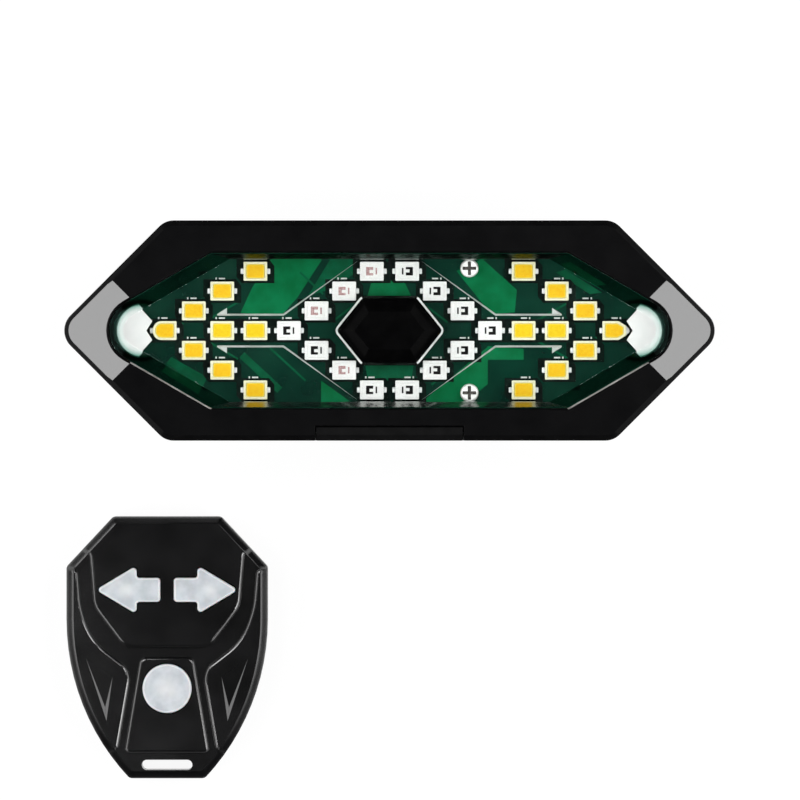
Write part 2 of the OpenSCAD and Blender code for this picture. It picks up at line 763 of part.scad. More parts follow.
button_flange_t = 0.6;
button_flange_reach = 0.4;
button_flange_top = flange_low - rest_gap;
plunger_top = button_flange_top - button_flange_t;
switch_floor = 0.1;

module power_button() {
    top = lens_top - button_sunk;
    edge = button_outline(0);
    color([0.02, 0.02, 0.02]) lamp_at() {
        loft([edge, edge, button_outline(button_slope)],
            [plunger_top + button_flange_t / 2, top - button_slope_h, top]);
        slab(button_outline(-button_gap - button_flange_reach), plunger_top, button_flange_top);
    }
}

module power_switch() {
    color([0.2, 0.2, 0.2]) lamp_at() difference() {
        block([switch_side, switch_side, switch_t], board_top);
        rod(plunger_r + fit_gap, board_top + switch_floor, board_top + switch_t + 1);
    }
}

module power_switch_plunger() {
    low = board_top + switch_floor + button_travel + rest_gap;
    color([0.5, 0.05, 0.05]) lamp_at() rod(plunger_r, low, plunger_top);
}

radio_x = rest_x - 10;
radio_y = 3.6;

// The controller, charger chip, inductor, capacitors and resistors on the back of the board
module board_components() {
    // the place of each piece on the board, then its size
    pieces = [
        [[radio_x - 1, -5.6], [8.6, 3.9, 1.5]],
        [[board_screw_x + 2.7, -2], [3, 1.7, 1.1]],
        [[rest_x - 3.8, -3], [3, 3, 1.9]],
        [[rest_x - 2.1, 1.2], [2, 1.3, 0.9]],
        [[-rest_x - 0.5, 0], [3.2, 1.6, 0.6]],
        [[-port_w, rest_y], [2, 1.3, 0.6]],
        [[-port_w, -rest_y], [2, 1.3, 0.6]]
    ];
    color([0.08, 0.08, 0.09]) lamp_at() for (c = pieces)
        translate([c[0].x, c[0].y, 0]) block(c[1], board_low - c[1].z);
}

module radio_module() {
    size = [12.4, 8, 0.8];
    chip = [4, 4, 0.9];
    color([0.05, 0.2, 0.4]) lamp_at() translate([radio_x, radio_y, 0]) {
        block(size, board_low - size.z);
        translate([-2.5, 0, 0]) block([chip.x, chip.y, chip.z + eps], board_low - size.z - chip.z);
        translate([3, 0, 0]) block([3.2, 2.5, chip.z + eps], board_low - size.z - chip.z);
    }
}

module receiver_antenna() {
    r = 0.4;
    y = radio_y + 4.9;
    color([0.75, 0.4, 0.15]) lamp_at() translate([radio_x, y, board_low - r - touch_gap]) rod_x(r, 11);
}

cell_right = board_screw_x - standoff_r - 1.4;
cell_len = cell_right + screw_x - boss_wide_r - cell_end_gap;

module battery_cell() {
    h = [cell_len, cell_w] / 2;
    color([0.6, 0.62, 0.65]) lamp_at() translate([cell_right - h.x, 0, 0])
        slab(rounded([[h.x, -h.y], [h.x, h.y], [-h.x, h.y], [-h.x, -h.y]], 1.2),
            z_floor + tape_t, z_floor + tape_t + cell_t);
}

module battery_pad() {
    color([0.85, 0.85, 0.8]) lamp_at() translate([cell_right - cell_len / 2, 0, 0])
        block([cell_len - 6, cell_w - 6, tape_t], z_floor);
}

// The cell's two leads: out of its end, round a bend and up to the board
module battery_leads() {
    r = 0.45;
    run = 0.7;
    z = z_floor + tape_t + cell_t / 2;
    color([0.6, 0.05, 0.05]) lamp_at() for (s = [-1, 1]) translate([cell_right, s * 1.5, 0]) {
        translate([run / 2, 0, z]) rod_x(r, run);
        translate([run, 0, z]) sphere(r = r);
        translate([run, 0, 0]) rod(r, z, board_low);
    }
}

module charging_port() {
    size = [port_w, port_len, port_h];
    inside = size - 2 * [port_shell_t, 0, port_shell_t];
    color(steel) lamp_at() translate([0, port_mouth_y + port_len / 2, port_z]) difference() {
        cube(size, center = true);
        translate([0, -port_back_t, 0]) cube(inside, center = true);
    }
}

module charging_port_tongue() {
    tongue = [6.6, 5, 0.7];
    y = port_mouth_y + port_len - port_back_t - tongue.y / 2;
    color([0.1, 0.1, 0.1]) lamp_at() translate([0, y, port_z]) cube(tongue, center = true);
}

// The rubber flap: a bead that it turns on, a plate up the edge, a lip over the front,
// and a plug for the socket
module port_flap() {
    top = z_front;
    color([0.05, 0.05, 0.05]) lamp_at() {
        translate([0, bead_y, bead_z]) rod_x(bead_r, flap_w);
        translate([0, edge_y, 0]) rotate([90, 0, 90]) linear_extrude(flap_w, center = true)
            polygon([[0, bead_z], [flap_t, bead_z], [flap_t, top - flap_t], [flap_lip, top - flap_t],
                [flap_lip, top], [edge_bevel, top], [0, top - edge_bevel_h]]);
        translate([0, edge_y + flap_t + plug_len / 2 - eps, port_z])
            cube([plug_w, plug_len, plug_h], center = true);
    }
}

module board_screws() {
    length = board_t + board_screw_len - 0.3;
    color(steel) lamp_at() at_board_screws() mirror([0, 0, 1])
        screw(board_screw_r, length, board_screw_head_r, board_screw_head_t, -board_top);
}

module housing_screws() {
    color(steel) lamp_at() in_corners(screw_x, screw_y)
        screw(screw_r, screw_len, screw_head_r, screw_head_t, screw_z);
}

module along_post() { translate([0, 0, axis_z]) rotate([90, 0, 0]) children(); }

bracket_half = sqrt(pad_seat_r * pad_seat_r - axis_z * axis_z) + foot_w;

// The bracket: a saddle block with a groove for the post, a T-shaped tongue, and four pegs for rubber rings
module seatpost_bracket() {
    peg_r = 1.4;
    peg_len = 1.5;
    peg_head_r = 2.1;
    peg_head_t = 0.6;
    peg_y = saddle_len / 2 - 3;
    peg_z = base_top - 2.6;
    color(black) lamp_at() difference() {
        union() {
            translate([-bracket_half, -saddle_len / 2, 0]) cube([2 * bracket_half, saddle_len, base_top]);
            translate([-neck_w / 2, -tongue_len / 2, base_top - eps])
                cube([neck_w, tongue_len, tongue_z - base_top + 2 * eps]);
            translate([-tongue_w / 2, -tongue_len / 2, tongue_z]) cube([tongue_w, tongue_len, tongue_t]);
            in_quarters() translate([bracket_half, peg_y, peg_z]) rotate([0, 90, 0]) {
                rod(peg_r, -eps, peg_len + eps);
                rod(peg_head_r, peg_len, peg_len + peg_head_t);
            }
        }
        along_post() cylinder(r = pad_seat_r, h = saddle_len + 2, center = true);
    }
}

module saddle_pad() {
    color([0.1, 0.1, 0.1]) lamp_at() intersection() {
        along_post() difference() {
            cylinder(r = pad_seat_r - fit_gap, h = saddle_len - 1, center = true);
            cylinder(r = post_r, h = saddle_len + 2, center = true);
        }
        translate([-bracket_half, -saddle_len / 2, 0]) cube([2 * bracket_half, saddle_len, base_top]);
    }
}

// The remote

remote_screw_r = 0.8;
remote_screw_head_r = 1.7;
remote_screw_head_t = 1;
remote_screw_len = 6;
remote_post_r = 1.9;
remote_boss_r = 2.6;
remote_head_sink = 0.4;
upper_screw_angle = 63.8;   // the way from the coin cell's middle to the upper screws
upper_screw_off = door_r + door_gap + remote_boss_r + touch_gap;
upper_screw = [0, coin_y] + upper_screw_off * [cos(upper_screw_angle), sin(upper_screw_angle)];
lower_screw = [9, -9.5];

module at_remote_screws() {
    for (p = [upper_screw, lower_screw], s = [-1, 1]) translate([s * p.x, p.y, 0]) children();
}

module lanyard_slot(low, high) {
    run = lanyard_len / 2 - lanyard_w / 2;
    y = -remote_half.y + lanyard_inset;
    for (s = [-1, 1]) translate([s * run, y, 0]) rod(lanyard_w / 2, low, high);
    translate([0, y, 0]) block([2 * run, lanyard_w, high - low], low);
}

// The web of plastic round the lanyard slot, which keeps the slot's walls whole inside the shells
module lanyard_web(low, high) {
    web_top = lanyard_inset + lanyard_w / 2 + 1.4;
    intersection() {
        slab(remote_outline(0.2), low, high);
        translate([-remote_w / 2, -remote_half.y, low]) cube([remote_w, web_top, high - low]);
    }
}

// What is cut off a flat piece at height z, so that it ends short of the lanyard slot's web
module below_lanyard(z) {
    end = lanyard_inset + lanyard_w / 2 + 1.8;
    translate([-remote_w / 2, -remote_half.y - 1, z - 1]) cube([remote_w, end + 1, 4]);
}

// The four raised panels of the face: one under the arrows, one under the mode key, and two wings
function upper_panel() =
    let (far = remote_half + [0.2, 6], knee = [11.5, remote_half.y - 5.7])
    let (right = [[6.2, -0.1], [10.9, 6.1], knee, [far.x, remote_half.y - 2.4], far])
    rounded(concat(right, mirrored(right)), [3, 4, 0.8, 0.6, 0.6, 0.6, 0.6, 0.8, 4, 3]);
function lower_panel() =
    let (low = -remote_half.y + lanyard_inset + lanyard_w / 2 + 1)
    rounded([[-6.4, low], [6.4, low], [4, -1.4], [-4, -1.4]], [0.8, 0.8, 1.2, 1.2]);
function wing_panel() =
    let (far = remote_half.x + 3, top_y = remote_half.y - 7.85, low_y = -remote_half.y + 4.4)
    let (bend = [[13.25, top_y], [12.8, 6.05], [11.2, 1.15], [6, -2.85], [5.4, -4.65], [7.2, low_y]])
    rounded(concat([[far, low_y - 4], [far, top_y + 0.5]], bend), [0.6, 0.6, 0.8, 12, 9, 2.6, 3.4, 0.8]);

// The V-shaped recess in the wing on one side, a flat pyramid that is deepest near the point of the V
module wing_recess(side) {
    right_rim = [[12, -1.7], [8.1, -4.4], [9, -10.9]];
    rim = side > 0 ? right_rim : mirrored(right_rim);
    deepest = [side * 9.2, -8.9, panel_top - 0.28];
    past = 1.3;   // how far the cut goes on past the wing's face, as a share of its depth
    polyhedron(
        points = concat([deepest], [for (p = rim) deepest + past * ([p.x, p.y, panel_top] - deepest)]),
        faces = [[3, 2, 1], [0, 1, 2], [0, 2, 3], [0, 3, 1]]
    );
}

// The raised panels of the front, which the rim's bevel trims
module face_panels() {
    intersection() {
        remote_hull(panel_top);
        union() {
            slab(upper_panel(), face_top - remote_bevel_h - eps, panel_top + 1);
            slab(lower_panel(), face_top - eps, panel_top + 1);
            for (s = [-1, 1]) difference() {
                mirror([s > 0 ? 0 : 1, 0, 0])
                    slab(wing_panel(), face_top - remote_bevel_h - eps, panel_top + 1);
                wing_recess(s);
            }
        }
    }
}

// The remote's outside from the parting line up, with its bevelled rim at the given height
module remote_hull(top) {
    loft([remote_outline(0), remote_outline(0), remote_outline(remote_bevel)],
        [remote_low_h, top - remote_bevel_h, top]);
}

// An arrow that points along -X, with the middle of its length at the origin
function arrow_outline(d) =
    let (l = arrow_len / 2, h = arrow_head_w / 2, s = arrow_shaft_w / 2, k = -l + arrow_head_len, r = 0.5)
    let (low = [[-l - 0.5, 0], [k, -h - 0.3], [k, -s], [l, -s]])
    let (p = concat(low, [for (i = [3 : -1 : 1]) [low[i].x, -low[i].y]]))
    inset(rounded(p, [r, r, 0.4, r, r, 0.4, r]), d);
arrow_x = (arrow_split + arrow_len) / 2;

module arrow_slab(gap, low, high, side) {
    mirror([side > 0 ? 1 : 0, 0, 0]) translate([-arrow_x, arrow_y, 0]) slab(arrow_outline(-gap), low, high);
}

module key_holes(gap, low, high) {
    for (s = [-1, 1]) arrow_slab(gap, low, high, s);
    translate([0, -mode_y, 0]) rod(mode_d / 2 + gap, low, high);
}

module remote_top_shell() {
    color(black) remote_at() difference() {
        union() {
            difference() {
                remote_hull(face_top);
                slab(remote_outline(remote_wall), remote_low_h - eps, face_low);
            }
            face_panels();
            lanyard_web(remote_low_h, face_low + eps);
            at_remote_screws() rod(remote_post_r, remote_low_h, face_low + eps);
        }
        key_holes(key_gap, face_low - 1, key_top + 1);
        lanyard_slot(0, key_top);
        at_remote_screws() rod(remote_screw_r + fit_gap, remote_low_h - eps, face_low - 0.6);
    }
}

module remote_bottom_shell() {
    notch = [2 * (lug_out + 0.3), lug_w + 1];
    rib_w = 1.4;
    rib_in = coin_d / 2 + coin_gap;
    rib_z = lug_z + lug_t + swing_gap;
    b = remote_back_bevel;
    color(black) remote_at() difference() {
        union() {
            difference() {
                loft([remote_outline(b), remote_outline(0), remote_outline(0)], [0, b, remote_low_h]);
                slab(remote_outline(remote_wall), remote_floor, remote_low_h + eps);
            }
            at_remote_screws() rod(remote_boss_r, remote_floor - eps, remote_low_h);
            lanyard_web(remote_floor - eps, remote_low_h);
            // three ribs that centre the coin cell
            intersection() {
                slab(remote_outline(remote_wall / 2), remote_floor, remote_low_h);
                for (a = [0, 90, 180]) translate([0, coin_y, 0]) rotate(a)
                    translate([rib_in, -rib_w / 2, rib_z]) cube([rib_in, rib_w, remote_low_h - rib_z]);
            }
        }
        translate([0, coin_y, 0]) {
            rod(door_r + door_gap, -1, remote_floor + eps);
            rotate(lug_angle + lug_turn) block([notch.x, notch.y, remote_floor + 1], -1 + eps);
        }
        lanyard_slot(-1, remote_low_h + 1);
        at_remote_screws() {
            rod(remote_screw_head_r + head_gap, -1, remote_head_sink + remote_screw_head_t);
            rod(remote_screw_r + 0.2, -1, remote_low_h + 1);
        }
    }
}

module left_key() { color(white) remote_at() arrow_slab(0, key_low, key_top, -1); }
module right_key() { color(white) remote_at() arrow_slab(0, key_low, key_top, 1); }
module mode_key() { color(white) remote_at() translate([0, -mode_y, 0]) rod(mode_d / 2, key_low, key_top); }

// The silicone sheet that the keys are moulded on, with room for the keys to travel
module key_sheet() {
    color([0.8, 0.8, 0.8]) remote_at() difference() {
        slab(remote_outline(remote_wall + 0.3), sheet_low, face_low);
        below_lanyard(sheet_low);
        key_holes(key_gap, sheet_low - 1, face_low + 1);
        at_remote_screws() rod(remote_post_r + 0.2, sheet_low - 1, face_low + 1);
    }
}

key_places = [[-arrow_x, arrow_y], [arrow_x, arrow_y], [0, -mode_y]];

module key_plunger(p) {
    color([0.15, 0.15, 0.15]) remote_at() translate([p.x, p.y, 0])
        rod(key_plunger_r, remote_board_top + key_travel + rest_gap, key_low);
}

module left_key_plunger() { key_plunger(key_places[0]); }
module right_key_plunger() { key_plunger(key_places[1]); }
module mode_key_plunger() { key_plunger(key_places[2]); }

module key_switches() {
    color(steel) remote_at() for (p = key_places) translate([p.x, p.y, 0]) difference() {
        block([key_switch_side, key_switch_side, key_switch_t], remote_board_top);
        rod(key_plunger_r + fit_gap, remote_board_top + 0.05, remote_board_top + key_switch_t + 1);
    }
}

module remote_board() {
    color([0.02, 0.32, 0.14]) remote_at() difference() {
        slab(remote_outline(remote_wall + 0.3), remote_board_low, remote_board_top);
        below_lanyard(remote_board_low);
        at_remote_screws() rod(remote_post_r + 0.2, remote_board_low - 1, remote_board_top + 1);
    }
}

module remote_chip() {
    y = (arrow_y - mode_y) / 2;
    color([0.08, 0.08, 0.09]) remote_at() translate([0, y, 0]) block([4, 4, 0.9], remote_board_top);
}

module coin_cell() {
    color([0.78, 0.79, 0.8]) remote_at() translate([0, coin_y, 0]) {
        rod(coin_d / 2, cell_low, cell_top - 0.4);
        rod(coin_d / 2 - 1.2, cell_low, cell_top);
    }
}

// A folded strip from the board down to the middle of the coin cell
module coin_cell_spring() {
    t = 0.15;
    h = spring_h;
    color([0.8, 0.65, 0.3]) remote_at() translate([0, coin_y, cell_top]) rotate([90, 0, 0])
        linear_extrude(3, center = true)
            polygon([[-4, h], [-4, h - t], [-2, h - t], [2, 0], [4, 0], [4, t], [2, t], [-2, h]]);
}

// A strip that touches the coin cell's rim and turns over on to the board
module coin_cell_clip() {
    t = 0.25;
    w = 5;
    fold = 2.2;
    rim = coin_y - coin_d / 2 - touch_gap;
    low = lug_z + lug_t + swing_gap;
    color([0.8, 0.65, 0.3]) remote_at() {
        translate([-w / 2, rim - t, low]) cube([w, t, remote_board_low - low]);
        translate([-w / 2, rim - fold, remote_board_low - t]) cube([w, fold, t]);
    }
}

// The battery door: a disc with a coin slot, and two lugs that turn behind the shell's floor
module battery_door() {
    coin_slot = [9, 1.6, 0.7];
    door_step = 0.6;
    color(black) remote_at() translate([0, coin_y, 0]) difference() {
        union() {
            rod(door_r, 0, remote_floor);
            rod(door_r - door_step, remote_floor - eps, remote_floor + door_rise);
            difference() {
                union() {
                    rotate(lug_angle) block([2 * lug_out, lug_w, lug_t], lug_z);
                    rod(door_r - rest_gap, remote_floor - eps, lug_z + lug_t);
                }
                rod(coin_d / 2 + coin_gap, remote_floor - 1, lug_z + 2);
            }
        }
        block(coin_slot + [0, 0, 1], -1);
        door_ring(seal_out + 1, 0);
    }
}

// The door's seal, and with no gap and a wider outside its groove
seal_out = door_r + 0.1;
seal_in = door_r - 0.45;
seal_low = 0.45;
seal_t = 0.5;

module door_ring(out, gap) {
    difference() {
        rod(out, seal_low + gap, seal_low + seal_t - gap);
        rod(seal_in + gap, 0, remote_floor);
    }
}

module door_seal() {
    color([0.12, 0.12, 0.12]) remote_at() translate([0, coin_y, 0]) door_ring(seal_out, fit_gap);
}

module remote_screws() {
    color(steel) remote_at() at_remote_screws()
        screw(remote_screw_r, remote_screw_len, remote_screw_head_r, remote_screw_head_t,
            remote_head_sink + remote_screw_head_t);
}

front_bezel();
rear_housing();
housing_seal();
clear_lens();
lens_seal();
lens_spacers();
tip_reflectors();
led_board();
left_signal_leds();
left_signal_phosphors();
right_signal_leds();
right_signal_phosphors();
brake_leds();
brake_led_dies();
power_button();
power_switch();
power_switch_plunger();
board_components();
radio_module();
receiver_antenna();
battery_cell();
battery_pad();
battery_leads();
charging_port();
charging_port_tongue();
port_flap();
board_screws();
housing_screws();
seatpost_bracket();
saddle_pad();
remote_top_shell();
remote_bottom_shell();
left_key();
right_key();
mode_key();
key_sheet();
left_key_plunger();
right_key_plunger();
mode_key_plunger();
key_switches();
remote_board();
remote_chip();
coin_cell();
coin_cell_spring();
coin_cell_clip();
battery_door();
door_seal();
remote_screws();
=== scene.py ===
import json
from math import atan2, pi, radians

import bmesh
import bpy
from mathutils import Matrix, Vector

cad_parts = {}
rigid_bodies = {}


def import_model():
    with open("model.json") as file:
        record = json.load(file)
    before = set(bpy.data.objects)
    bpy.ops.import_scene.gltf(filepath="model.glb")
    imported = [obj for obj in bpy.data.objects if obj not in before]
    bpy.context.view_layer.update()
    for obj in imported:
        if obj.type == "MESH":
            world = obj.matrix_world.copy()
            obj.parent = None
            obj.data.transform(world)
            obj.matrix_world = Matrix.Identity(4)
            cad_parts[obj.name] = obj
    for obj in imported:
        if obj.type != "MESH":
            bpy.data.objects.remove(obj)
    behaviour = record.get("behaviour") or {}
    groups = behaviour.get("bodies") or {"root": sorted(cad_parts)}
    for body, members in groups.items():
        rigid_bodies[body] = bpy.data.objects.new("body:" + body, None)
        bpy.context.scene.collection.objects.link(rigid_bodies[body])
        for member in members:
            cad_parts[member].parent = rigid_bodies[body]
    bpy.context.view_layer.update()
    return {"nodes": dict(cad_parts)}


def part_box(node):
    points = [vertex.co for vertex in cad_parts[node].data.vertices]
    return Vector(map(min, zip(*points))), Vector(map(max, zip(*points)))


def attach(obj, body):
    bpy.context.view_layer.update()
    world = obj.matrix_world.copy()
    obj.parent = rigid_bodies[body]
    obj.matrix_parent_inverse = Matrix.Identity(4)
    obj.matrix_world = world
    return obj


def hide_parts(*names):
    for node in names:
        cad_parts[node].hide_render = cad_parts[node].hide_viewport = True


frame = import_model()


# The camera. It hangs far above the set and looks straight down through a long lens, so that the two items
# lie flat in the picture, almost without perspective.
mm = 0.001
view_centre = Vector((1.55 * mm, 14.85 * mm))
view_width = 117.98 * mm
bezel_low, bezel_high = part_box("front_bezel")
long_lens = 1000
sensor = 36
bpy.ops.object.camera_add(
    location=(*view_centre, bezel_high.z + view_width * long_lens / sensor), rotation=(0, 0, 0))
camera = bpy.context.object
camera.data.lens = long_lens
camera.data.sensor_width = sensor
bpy.context.scene.camera = camera
bpy.context.scene.view_settings.view_transform = "Standard"


# The studio lamps. A small softbox over each sloping facet of the lamp's tips makes it shine, and the rest of
# the sky stays dark over the level black faces. Two tall screens left and right light the set and its edges.
def softbox(name, place, turn, size, radiance):
    """A rectangular lamp with an even face, which the camera can't see."""
    bpy.ops.object.light_add(type="AREA", location=place, rotation=turn)
    lamp = bpy.context.object
    lamp.name = name
    lamp.data.shape = "RECTANGLE"
    lamp.data.size, lamp.data.size_y = size
    lamp.data.energy = radiance * pi * size[0] * size[1]
    lamp.visible_camera = False


lamp_y = (bezel_low.y + bezel_high.y) / 2
facet_box, facet_box_radiance = (0.09, 0.1), 9.4
facet_box_x, facet_box_y, facet_box_z = 0.138, 0.09, 0.5
screen, screen_radiance = (0.8, 1.3), 2.2
screen_x, screen_z, screen_lean = 0.6, 0.45, radians(62)
for side, name in ((-1, "left"), (1, "right")):
    for up in (-1, 1):
        over_facet = (side * facet_box_x, lamp_y + up * facet_box_y, facet_box_z)
        softbox(f"{name}_softbox_{up + 1}", over_facet, (0, 0, 0), facet_box, facet_box_radiance)
    beside = (side * screen_x, 0, screen_z)
    softbox(name + "_screen", beside, (0, side * screen_lean, 0), screen, screen_radiance)


# The world and the floor. Both are plain white to the eye, while the room that lights the object is dim, and
# darkest overhead. The floor keeps a soft shadow.
def add_node(tree, kind, inputs=(), **settings):
    """A shader node with its settings, and with values or links on its inputs."""
    node = tree.nodes.new("ShaderNode" + kind)
    for name, value in settings.items():
        setattr(node, name, value)
    for key, value in dict(inputs).items():
        if isinstance(value, bpy.types.NodeSocket):
            tree.links.new(value, node.inputs[key])
        else:
            node.inputs[key].default_value = value
    return node


def ramp(tree, factor, *stops):
    """A colour that runs through the stops as the factor grows."""
    node = add_node(tree, "ValToRGB", {"Fac": factor})
    while len(node.color_ramp.elements) < len(stops):
        node.color_ramp.elements.new(0.5)
    for element, (place, colour) in zip(node.color_ramp.elements, stops):
        element.position = place
        element.color = (*colour, 1)
    return node.outputs["Color"]


def either(tree, first, second):
    """1 where one of two switches is 1."""
    return add_node(tree, "Math", {0: first, 1: second}, operation="MAXIMUM").outputs[0]


world = bpy.data.worlds.new("studio")
world.use_nodes = True
bpy.context.scene.world = world
tree = world.node_tree
direction = add_node(tree, "TexCoord").outputs["Generated"]
height = add_node(tree, "SeparateXYZ", {"Vector": direction}).outputs["Z"]
room = ramp(tree, height, (0.0, (0.1,) * 3), (0.5, (0.08,) * 3), (0.9, (0.02,) * 3))
backdrop = tree.nodes["Background"]
tree.links.new(room, backdrop.inputs["Color"])
plain_white = add_node(tree, "Background", {"Color": (1, 1, 1, 1), "Strength": 1.0})
seen = add_node(tree, "LightPath").outputs
shown = add_node(tree, "MixShader", {
    0: seen["Is Camera Ray"], 1: backdrop.outputs[0], 2: plain_white.outputs[0]})
tree.links.new(shown.outputs[0], tree.nodes["World Output"].inputs["Surface"])

floor_size = 6
floor_drop = 0.2 * mm
bpy.ops.mesh.primitive_plane_add(size=floor_size, location=(0, 0, -floor_drop))
floor = bpy.context.object
floor.name = "floor"
floor_paint = bpy.data.materials.new("white_floor")
floor_paint.use_nodes = True
floor.data.materials.append(floor_paint)
tree = floor_paint.node_tree
tree.nodes.remove(tree.nodes["Principled BSDF"])
lit = add_node(tree, "BsdfDiffuse", {"Color": (0.8, 0.8, 0.8, 1)})
shade = add_node(tree, "BsdfDiffuse", {"Color": (0.1, 0.1, 0.1, 1)})
glow = add_node(tree, "Emission", {"Color": (1, 1, 1, 1), "Strength": 0.92})
white = add_node(tree, "AddShader", {0: shade.outputs[0], 1: glow.outputs[0]})
seen = add_node(tree, "LightPath").outputs
mirrored = either(tree, seen["Is Glossy Ray"], seen["Is Transmission Ray"])
to_eye = either(tree, seen["Is Camera Ray"], mirrored)
shown = add_node(tree, "MixShader", {0: to_eye, 1: lit.outputs[0], 2: white.outputs[0]})
tree.links.new(shown.outputs[0], tree.nodes["Material Output"].inputs["Surface"])


# The rear housing: a moulded tub of satin black plastic with a fine spark texture. It carries everything in
# the lamp, and the two rails on its back take the bracket's tongue.
def only(*pieces):
    """Selects these pieces alone, and makes the last of them active."""
    bpy.ops.object.select_all(action="DESELECT")
    for piece in pieces:
        piece.select_set(True)
    bpy.context.view_layer.objects.active = pieces[-1]


def coat(piece, *materials):
    """Gives the piece its materials. Its faces take the first one, until they are painted."""
    piece.data.materials.clear()
    for material in materials:
        piece.data.materials.append(material)


def copy_of(node, name, *materials):
    """A copy of a CAD node as one mesh, with its doubles merged and its flat faces whole."""
    piece = bpy.data.objects.new(name, frame["nodes"][node].data.copy())
    bpy.context.collection.objects.link(piece)
    coat(piece, *materials)
    only(piece)
    bpy.ops.mesh.customdata_custom_splitnormals_clear()
    bpy.ops.object.mode_set(mode="EDIT")
    bpy.ops.mesh.select_all(action="SELECT")
    bpy.ops.mesh.remove_doubles(threshold=0.002 * mm)
    bpy.ops.mesh.dissolve_limited(angle_limit=radians(0.5), delimit=set())
    bpy.ops.mesh.normals_make_consistent(inside=False)
    bpy.ops.object.mode_set(mode="OBJECT")
    return piece


def apply(piece, kind, **settings):
    """Puts a modifier on the piece and applies it."""
    only(piece)
    modifier = piece.modifiers.new(kind, kind)
    for name, value in settings.items():
        setattr(modifier, name, value)
    bpy.ops.object.modifier_apply(modifier=modifier.name)


def smooth(piece, angle=40):
    """Shades the piece smooth, with its flat faces kept flat."""
    only(piece)
    bpy.ops.object.shade_smooth_by_angle(angle=radians(angle))
    apply(piece, "WEIGHTED_NORMAL", keep_sharp=True)


def round_edges(piece, width, steps, angle):
    """Rounds the edges that turn more than an angle."""
    apply(piece, "BEVEL", width=width, segments=steps, limit_method="ANGLE", angle_limit=radians(angle),
        loop_slide=False)


def finish(name, sockets):
    """A material with constant values on its shader's sockets."""
    material = bpy.data.materials.new(name)
    material.use_nodes = True
    for socket, value in sockets.items():
        material.node_tree.nodes["Principled BSDF"].inputs[socket].default_value = value
    return material


def drive(material, socket, pattern):
    """Links a pattern to a socket of the material's shader."""
    tree = material.node_tree
    tree.links.new(pattern, tree.nodes["Principled BSDF"].inputs[socket])


def noise(material, size, detail=3.0):
    """A noise pattern on the piece's own coordinates, with features of about the given size."""
    tree = material.node_tree
    place = add_node(tree, "TexCoord").outputs["Object"]
    return add_node(tree, "TexNoise", {"Vector": place, "Scale": 1 / size, "Detail": detail}).outputs[0]


def tint(material, size, dark, light):
    """Varies the colour between two near tones."""
    mottle = noise(material, size)
    drive(material, "Base Color", ramp(material.node_tree, mottle, (0.35, dark), (0.65, light)))


def grain(material, size, height, smoothest, roughest):
    """A fine bump, and a roughness that wanders between two values over a wider pattern."""
    tree = material.node_tree
    bump = add_node(tree, "Bump", {"Height": noise(material, size, 2), "Strength": 1.0, "Distance": height})
    drive(material, "Normal", bump.outputs[0])
    wider = 25
    spread = add_node(tree, "MapRange", {"Value": noise(material, size * wider), "From Min": 0.3,
        "From Max": 0.7, "To Min": smoothest, "To Max": roughest})
    drive(material, "Roughness", spread.outputs[0])


def dress(slot, material, *nodes):
    """Gives CAD nodes that keep their shape their material."""
    for node in nodes:
        coat(frame["nodes"][node], material)


def fit(piece, body, slot, *nodes):
    """The piece rides on a body, and stands for CAD nodes."""
    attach(piece, body)
    if nodes:
        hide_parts(*nodes)


def rounded_copy(node, name, material, width, body, slot, angle=30):
    """A copy of a CAD node with its edges rounded, which rides on a body in the node's place."""
    piece = copy_of(node, name, material)
    round_edges(piece, width, 3, angle)
    smooth(piece)
    fit(piece, body, slot, node)


satin_black = finish("satin_black", {"IOR": 1.5})
tint(satin_black, 4 * mm, (0.008, 0.008, 0.009), (0.013, 0.013, 0.014))
grain(satin_black, 0.12 * mm, 0.006 * mm, 0.4, 0.52)
rounded_copy("rear_housing", "rear_tub", satin_black, 0.3 * mm, "lamp", "satin_black_plastic")


# The housing's seal: a square cord of black rubber that lies in a groove round the tub's rim. The two thin
# gaskets of the same rubber, on the lens flange and round the battery door, come with it.
rubber = finish("black_rubber", {"IOR": 1.45, "Specular IOR Level": 0.12})
tint(rubber, 2 * mm, (0.004, 0.004, 0.004), (0.007, 0.007, 0.007))
grain(rubber, 0.15 * mm, 0.01 * mm, 0.55, 0.7)
dress("black_rubber", rubber, "housing_seal", "lens_seal", "door_seal")


# The battery: a flat lithium cell in crinkled silver foil, on a pad of double-sided foam tape, with two
# insulated leads up to the board.
foil = finish("cell_foil", {"Metallic": 0.6})
tint(foil, 3 * mm, (0.42, 0.43, 0.45), (0.55, 0.56, 0.58))
grain(foil, 1.2 * mm, 0.05 * mm, 0.3, 0.45)
dress("cell_foil", foil, "battery_cell")

tape = finish("foam_tape", {"IOR": 1.3})
tint(tape, 0.3 * mm, (0.7, 0.69, 0.63), (0.82, 0.81, 0.75))
grain(tape, 0.2 * mm, 0.03 * mm, 0.8, 0.9)
dress("foam_tape", tape, "battery_pad")

wire = finish("lead_wire", {"IOR": 1.45})
tint(wire, 0.8 * mm, (0.42, 0.02, 0.02), (0.55, 0.035, 0.03))
grain(wire, 0.3 * mm, 0.004 * mm, 0.35, 0.45)
dress("lead_wire", wire, "battery_leads")


# The circuit board of the lamp: glass fibre under a green solder mask. Copper areas show through the mask as
# a lighter green, near-black patches round the LEDs are painted shade, and short white ticks stand beside the
# LEDs.
# Places on the board are in millimetres from the lamp's middle.
def block(name, low, high):
    """A box between two corners, with its place in its mesh."""
    low, high = Vector(low), Vector(high)
    bpy.ops.mesh.primitive_cube_add(size=1, location=(low + high) / 2, scale=high - low)
    piece = bpy.context.object
    piece.name = name
    bpy.ops.object.transform_apply(location=True, rotation=True, scale=True)
    return piece


